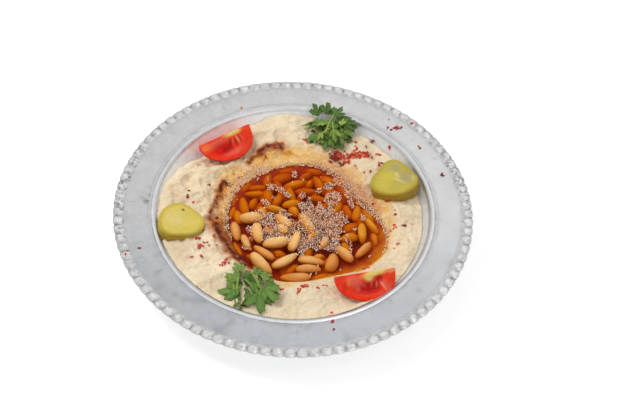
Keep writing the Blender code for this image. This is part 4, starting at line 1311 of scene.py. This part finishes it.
# Red pepper flakes: x, y, half spread along X and Y, number, and 1 where they are dark and wet
FLAKE_SPOTS = [
    (27, 50.5, 3.0, 2.6, 64, 0), (23.5, 47.5, 2.6, 2.6, 66, 1), (28, 44, 1.8, 1.8, 12, 1),
    (36, 50.5, 4.4, 2.0, 74, 0), (43, 50.5, 3.2, 1.8, 66, 0), (32, 45, 1.8, 1.5, 12, 0),
    (37, 55.5, 1.2, 1.5, 7, 0), (44.5, 52.5, 1.4, 1.4, 8, 0), (52, 54, 1.3, 0.6, 6, 0),
    (48, 64, 1.2, 0.9, 6, 1), (58.8, 57.5, 0.9, 1.1, 6, 0), (44.5, 58.5, 1.0, 0.8, 2, 1),
    (52, 43, 0.9, 1.4, 6, 0), (54, 44.5, 0.4, 0.6, 2, 1), (47, 37.5, 0.6, 0.9, 4, 0),
    (43, 37, 0.4, 0.5, 2, 0), (37, 42.5, 0.6, 0.9, 2, 0), (38, 39.5, 0.4, 0.4, 1, 0),
    (36.5, 61.5, 0.6, 0.8, 2, 0), (4.5, 59.5, 1.4, 0.9, 7, 0), (58.5, 13.4, 2.2, 0.8, 13, 0),
    (49.5, 12.5, 1.2, 1.0, 3, 0), (62.5, 7, 0.6, 0.5, 2, 0), (62.6, 4, 0.5, 0.5, 2, 0),
    (68, -4.2, 1.2, 0.8, 7, 1), (72.4, -3.2, 0.5, 0.4, 1, 0), (62.5, -5.5, 0.7, 0.6, 3, 0),
    (59.8, -8, 0.6, 0.5, 2, 0), (64.5, -19.4, 0.8, 0.8, 5, 0), (62.3, -22, 0.3, 0.3, 1, 0),
    (61.8, -3, 0.4, 0.5, 1, 0), (43.6, -38, 3.0, 0.6, 5, 0), (-54, 17, 0.5, 0.6, 3, 1),
    (-65.5, 10.8, 0.8, 0.5, 4, 1), (-65.3, 4.0, 0.8, 1.1, 7, 1), (-61.2, 0.5, 0.3, 0.7, 2, 0),
    (-55, -18.5, 1.2, 1.4, 12, 0), (-56.2, -27.4, 1.5, 0.8, 8, 0), (-54.4, -31.8, 1.2, 1.2, 9, 0),
    (-50.5, -29.5, 1.6, 0.4, 5, 0), (-46.6, -24, 0.7, 1.0, 6, 0), (-48.6, -31.4, 0.7, 0.4, 2, 0),
    (-44.8, -31, 0.4, 0.6, 2, 0), (-58.6, -40.2, 0.4, 0.4, 1, 0), (-53.3, -39.5, 0.5, 0.4, 2, 0),
    (-39.6, -44.4, 1.2, 0.9, 7, 0), (-37.9, -41.6, 0.8, 1.2, 7, 0), (-36.2, -44, 0.5, 0.8, 3, 0),
    (-48.2, 6, 1.4, 5, 9, 1), (-46.5, -12, 1.4, 5, 7, 1), (-53, -64, 0.5, 0.3, 2, 0),
    (9.5, -56.6, 2.2, 1.4, 18, 0), (6.2, -60, 1.2, 1.1, 9, 0), (17.4, -58.4, 0.8, 0.4, 3, 0),
    (21.3, -54.6, 0.9, 0.3, 3, 0), (26.3, -74.3, 0.5, 0.5, 3, 0), (25, -78.8, 0.4, 0.3, 1, 0),
    (27.2, -80, 0.3, 0.3, 1, 0), (-7.6, -56.2, 1.4, 0.9, 6, 0), (-3.2, -59, 1.0, 0.5, 4, 0),
    (-20, 45.5, 0.7, 1.6, 5, 0), (-15, 53.4, 3, 0.8, 6, 0), (-77.5, -29.2, 0.5, 0.4, 2, 1),
    (-74, -30, 0.5, 0.3, 2, 0), (-10, 58, 1.0, 1.0, 3, 0), (62.3, 72, 1.5, 1.4, 11, 0),
    (57.4, 72.5, 0.5, 0.6, 2, 0), (72.6, 76.6, 0.7, 1.0, 5, 0), (58.2, 78.8, 0.6, 0.5, 1, 0),
    (76.9, 57.3, 0.3, 0.4, 1, 0), (78.4, 55.8, 0.4, 0.4, 2, 1), (92, 33.8, 0.8, 0.8, 4, 1),
    (65.8, 73, 0.5, 0.4, 2, 1), (-37.6, 82.4, 0.5, 0.5, 2, 0), (-97.8, -44, 0.7, 0.8, 3, 0),
    (-96, -41, 0.5, 0.4, 1, 0), (-89.5, -38.5, 0.4, 0.4, 1, 0), (27, -84, 0.4, 0.4, 1, 0),
    (27.5, -89, 0.4, 0.4, 1, 1), (59.6, 70, 0.6, 0.6, 2, 0)]


class FlakeSettings(bpy.types.PropertyGroup):
    size: length("Flake size", "Mean width of a flake", 1.7)
    thickness: length("Thickness", "Thickness of a flake", 0.3)


FLAKE_LIFT = 0.22             # of a flake's middle over the ground
CROWDED = 8                   # flakes in one spot, over which they pile up
PILE_HEIGHT = 0.5
# Colours of a dry flake, of a seed, and what a wet flake's colour is multiplied by
FLAKE_DARK, FLAKE_LIGHT = np.array((0.36, 0.014, 0.006)), np.array((0.80, 0.055, 0.015))
SEED_COLOUR, WET_TINT = np.array((0.66, 0.20, 0.05)), (0.42, 0.4, 0.8)


def flake_shape(random, size, thickness):
    """A flat chip of pepper with five to seven corners."""
    sides = random.integers(5, 8)
    angle = np.sort(random.uniform(0, 0.7, sides) + np.arange(sides)) * FULL_TURN / sides
    width = size * random.uniform(0.5, 1.45)
    reach = width / 2 * random.uniform(0.7, 1.25, sides)
    stretch = random.uniform(0.6, 1.0)
    outline = np.column_stack([reach * np.cos(angle), reach * np.sin(angle) * stretch, np.zeros(sides)])
    half = thickness / 2
    rings = [outline * 0.8 + (0, 0, half), outline, outline * 0.85 - (0, 0, half)]
    return skin(rings, (0, 0, half * 1.3), (0, 0, -half))


def flake_colour(random, dark):
    """Colour of one flake; a few of the dry ones are seeds."""
    tone = random.uniform(0, 1)
    if dark:
        return blend(FLAKE_DARK, FLAKE_LIGHT, tone) * WET_TINT
    return SEED_COLOUR if tone > 0.88 else blend(FLAKE_DARK, FLAKE_LIGHT, tone)


class HUMMUS_OT_flakes(bpy.types.Operator):
    """Sprinkle red pepper flakes over the hummus and the rim"""
    bl_idname = "hummus.flakes"
    bl_label = "Pepper flakes"

    def execute(self, context):
        settings = context.scene.hummus_flakes
        trees = ground_trees(context, "hummus_spread", "plate_dish")
        random = np.random.default_rng(SEEDS["flakes"])
        shapes = []
        for middle_x, middle_y, spread_x, spread_y, count, dark in FLAKE_SPOTS:
            for _ in range(count):
                points, faces = flake_shape(random, settings.size / MM, settings.thickness / MM)
                x, y = random.normal(middle_x, spread_x * 0.62), random.normal(middle_y, spread_y * 0.62)
                heading, tilt, roll = [random.uniform(*limits) for limits in ((0, 360), (-28, 28), (-28, 28))]
                height = ground_height(trees, x, y) + FLAKE_LIFT
                if count > CROWDED:
                    height += PILE_HEIGHT * random.uniform()
                points = turned(points, heading, tilt, roll, (x, y, height))
                shapes.append((points, faces, np.tile(flake_colour(random, dark), (len(points), 1))))
        finish = food_finish("pepper_flake", 2200, 0.25, 0.05, Roughness=0.4)
        settle(add_piece("pepper_flakes", *join(shapes), finish), "pepper_flake")
        return {"FINISHED"}


# Floor, lamps and camera

class StageSettings(bpy.types.PropertyGroup):
    distance: length("Distance", "From the camera to the plate", 846)
    elevation: FloatProperty(name="Elevation", description="Of the camera over the floor",
                             default=math.radians(49.77), subtype="ANGLE")
    roll: FloatProperty(name="Roll", description="Of the camera", default=math.radians(3.27), subtype="ANGLE")
    lens: FloatProperty(name="Lens", description="Focal length in millimetres", default=80.2)
    key_power: FloatProperty(name="Key lamp", description="Power in watts", default=5.4)
    fill_power: FloatProperty(name="Fill lamp", description="Power in watts", default=0.9)
    back_power: FloatProperty(name="Back lamp", description="Power in watts", default=0.4)
    sky: FloatProperty(name="Sky", description="Strength of the even light", default=0.52)


FLOOR_SIZE = 12               # metres
FLOOR_GREY = 0.62
FLOOR_GLOW = (0.12, 0.62)     # strength for diffuse rays, and for rays that see the background
AIM = (10.4, -1.1, 22.0)
SENSOR_WIDTH = 36
# Lamps: name, place in metres, size in metres, and whether reflections show them
LAMPS = [("key", (-0.5, 0.22, 0.85), 0.5, False), ("fill", (0.35, -0.3, 0.9), 0.35, True),
         ("back", (0.165, 0.62, 0.92), 0.34, True)]
NEAR, FAR = 0.05, 50


def add_lamp(name, place, power, size, glossy):
    """A square soft lamp in metres, turned to the plate."""
    light = bpy.data.lights.new(name, "AREA")
    light.energy = power
    light.size = size
    lamp = bpy.data.objects.new(name, light)
    lamp.location = place
    lamp.rotation_euler = (-Vector(place)).to_track_quat("-Z", "Y").to_euler()
    lamp.visible_glossy = glossy
    bpy.context.collection.objects.link(lamp)


def seen_rays(tree):
    """1 for camera, glossy and transmission rays, or else 0."""
    path = tree.nodes.new("ShaderNodeLightPath")
    total = None
    for name in ("Is Camera Ray", "Is Glossy Ray", "Is Transmission Ray"):
        if total is None:
            total = path.outputs[name]
            continue
        larger = tree.nodes.new("ShaderNodeMath")
        larger.operation = "MAXIMUM"
        tree.links.new(total, larger.inputs[0])
        tree.links.new(path.outputs[name], larger.inputs[1])
        total = larger.outputs["Value"]
    return total


class HUMMUS_OT_stage(bpy.types.Operator):
    """Add the pale floor, the soft lamps and the camera"""
    bl_idname = "hummus.stage"
    bl_label = "Stage"

    def execute(self, context):
        scene, settings = context.scene, context.scene.hummus_stage
        bpy.ops.mesh.primitive_plane_add(size=FLOOR_SIZE, location=(0, 0, 0))
        floor = context.object
        floor.name = "floor"
        grey = (FLOOR_GREY, FLOOR_GREY, FLOOR_GREY, 1)
        material, tree, shader = principled("floor", Base_Color=grey, Roughness=0.9,
                                            Specular_IOR_Level=0.0, Emission_Color=(1, 1, 1, 1))
        glow = ranged(tree, seen_rays(tree), *FLOOR_GLOW, 0, 1)
        tree.links.new(glow, shader.inputs["Emission Strength"])
        floor.data.materials.append(material)

        world = bpy.data.worlds.new("sky")
        world.use_nodes = True
        background = world.node_tree.nodes["Background"]
        background.inputs["Color"].default_value = (1, 1, 1, 1)
        level = ranged(world.node_tree, seen_rays(world.node_tree), settings.sky, 1.0, 0, 1)
        world.node_tree.links.new(level, background.inputs["Strength"])
        scene.world = world

        for name, place, size, glossy in LAMPS:
            add_lamp(name, place, getattr(settings, name + "_power"), size, glossy)

        lift, roll = settings.elevation, settings.roll
        right, up = Vector((1, 0, 0)), Vector((0, math.sin(lift), math.cos(lift)))
        back = Vector((0, -math.cos(lift), math.sin(lift)))
        rolled_right = right * math.cos(roll) + up * math.sin(roll)
        rolled_up = up * math.cos(roll) - right * math.sin(roll)
        view = Matrix((rolled_right, rolled_up, back)).transposed().to_4x4()
        view.translation = Vector(AIM) * MM + back * settings.distance
        data = bpy.data.cameras.new("camera")
        data.lens = settings.lens
        data.sensor_width = SENSOR_WIDTH
        data.clip_start, data.clip_end = NEAR, FAR
        camera = bpy.data.objects.new("camera", data)
        camera.matrix_world = view
        context.collection.objects.link(camera)
        scene.camera = camera
        scene.view_settings.view_transform = "Standard"
        return {"FINISHED"}


class HUMMUS_PT_panel(bpy.types.Panel):
    """Lists the operators in the order in which they are run"""
    bl_idname = "HUMMUS_PT_panel"
    bl_label = "Hummus plate"
    bl_space_type = "VIEW_3D"
    bl_region_type = "UI"
    bl_category = "Hummus plate"

    def draw(self, context):
        for operator in OPERATORS:
            self.layout.operator(operator.bl_idname)


OPERATORS = (HUMMUS_OT_plate, HUMMUS_OT_hummus, HUMMUS_OT_butter, HUMMUS_OT_pine_nuts, HUMMUS_OT_froth,
             HUMMUS_OT_tomatoes, HUMMUS_OT_pickles, HUMMUS_OT_parsley, HUMMUS_OT_flakes, HUMMUS_OT_stage)
SETTINGS = {"hummus_plate": PlateSettings, "hummus_spread": HummusSettings, "hummus_butter": ButterSettings,
            "hummus_flakes": FlakeSettings, "hummus_stage": StageSettings}


def register():
    """Add the settings, the operators and the panel to Blender."""
    for kind in (*SETTINGS.values(), *OPERATORS, HUMMUS_PT_panel):
        bpy.utils.register_class(kind)
    for name, kind in SETTINGS.items():
        setattr(bpy.types.Scene, name, PointerProperty(type=kind))


def unregister():
    """Take them away again."""
    for name in SETTINGS:
        delattr(bpy.types.Scene, name)
    for kind in reversed((*SETTINGS.values(), *OPERATORS, HUMMUS_PT_panel)):
        bpy.utils.unregister_class(kind)


def main():
    """Run every operator in order."""
    register()
    for operator in OPERATORS:
        group, name = operator.bl_idname.split(".")
        getattr(getattr(bpy.ops, group), name)()


if __name__ == "__main__":
    main()
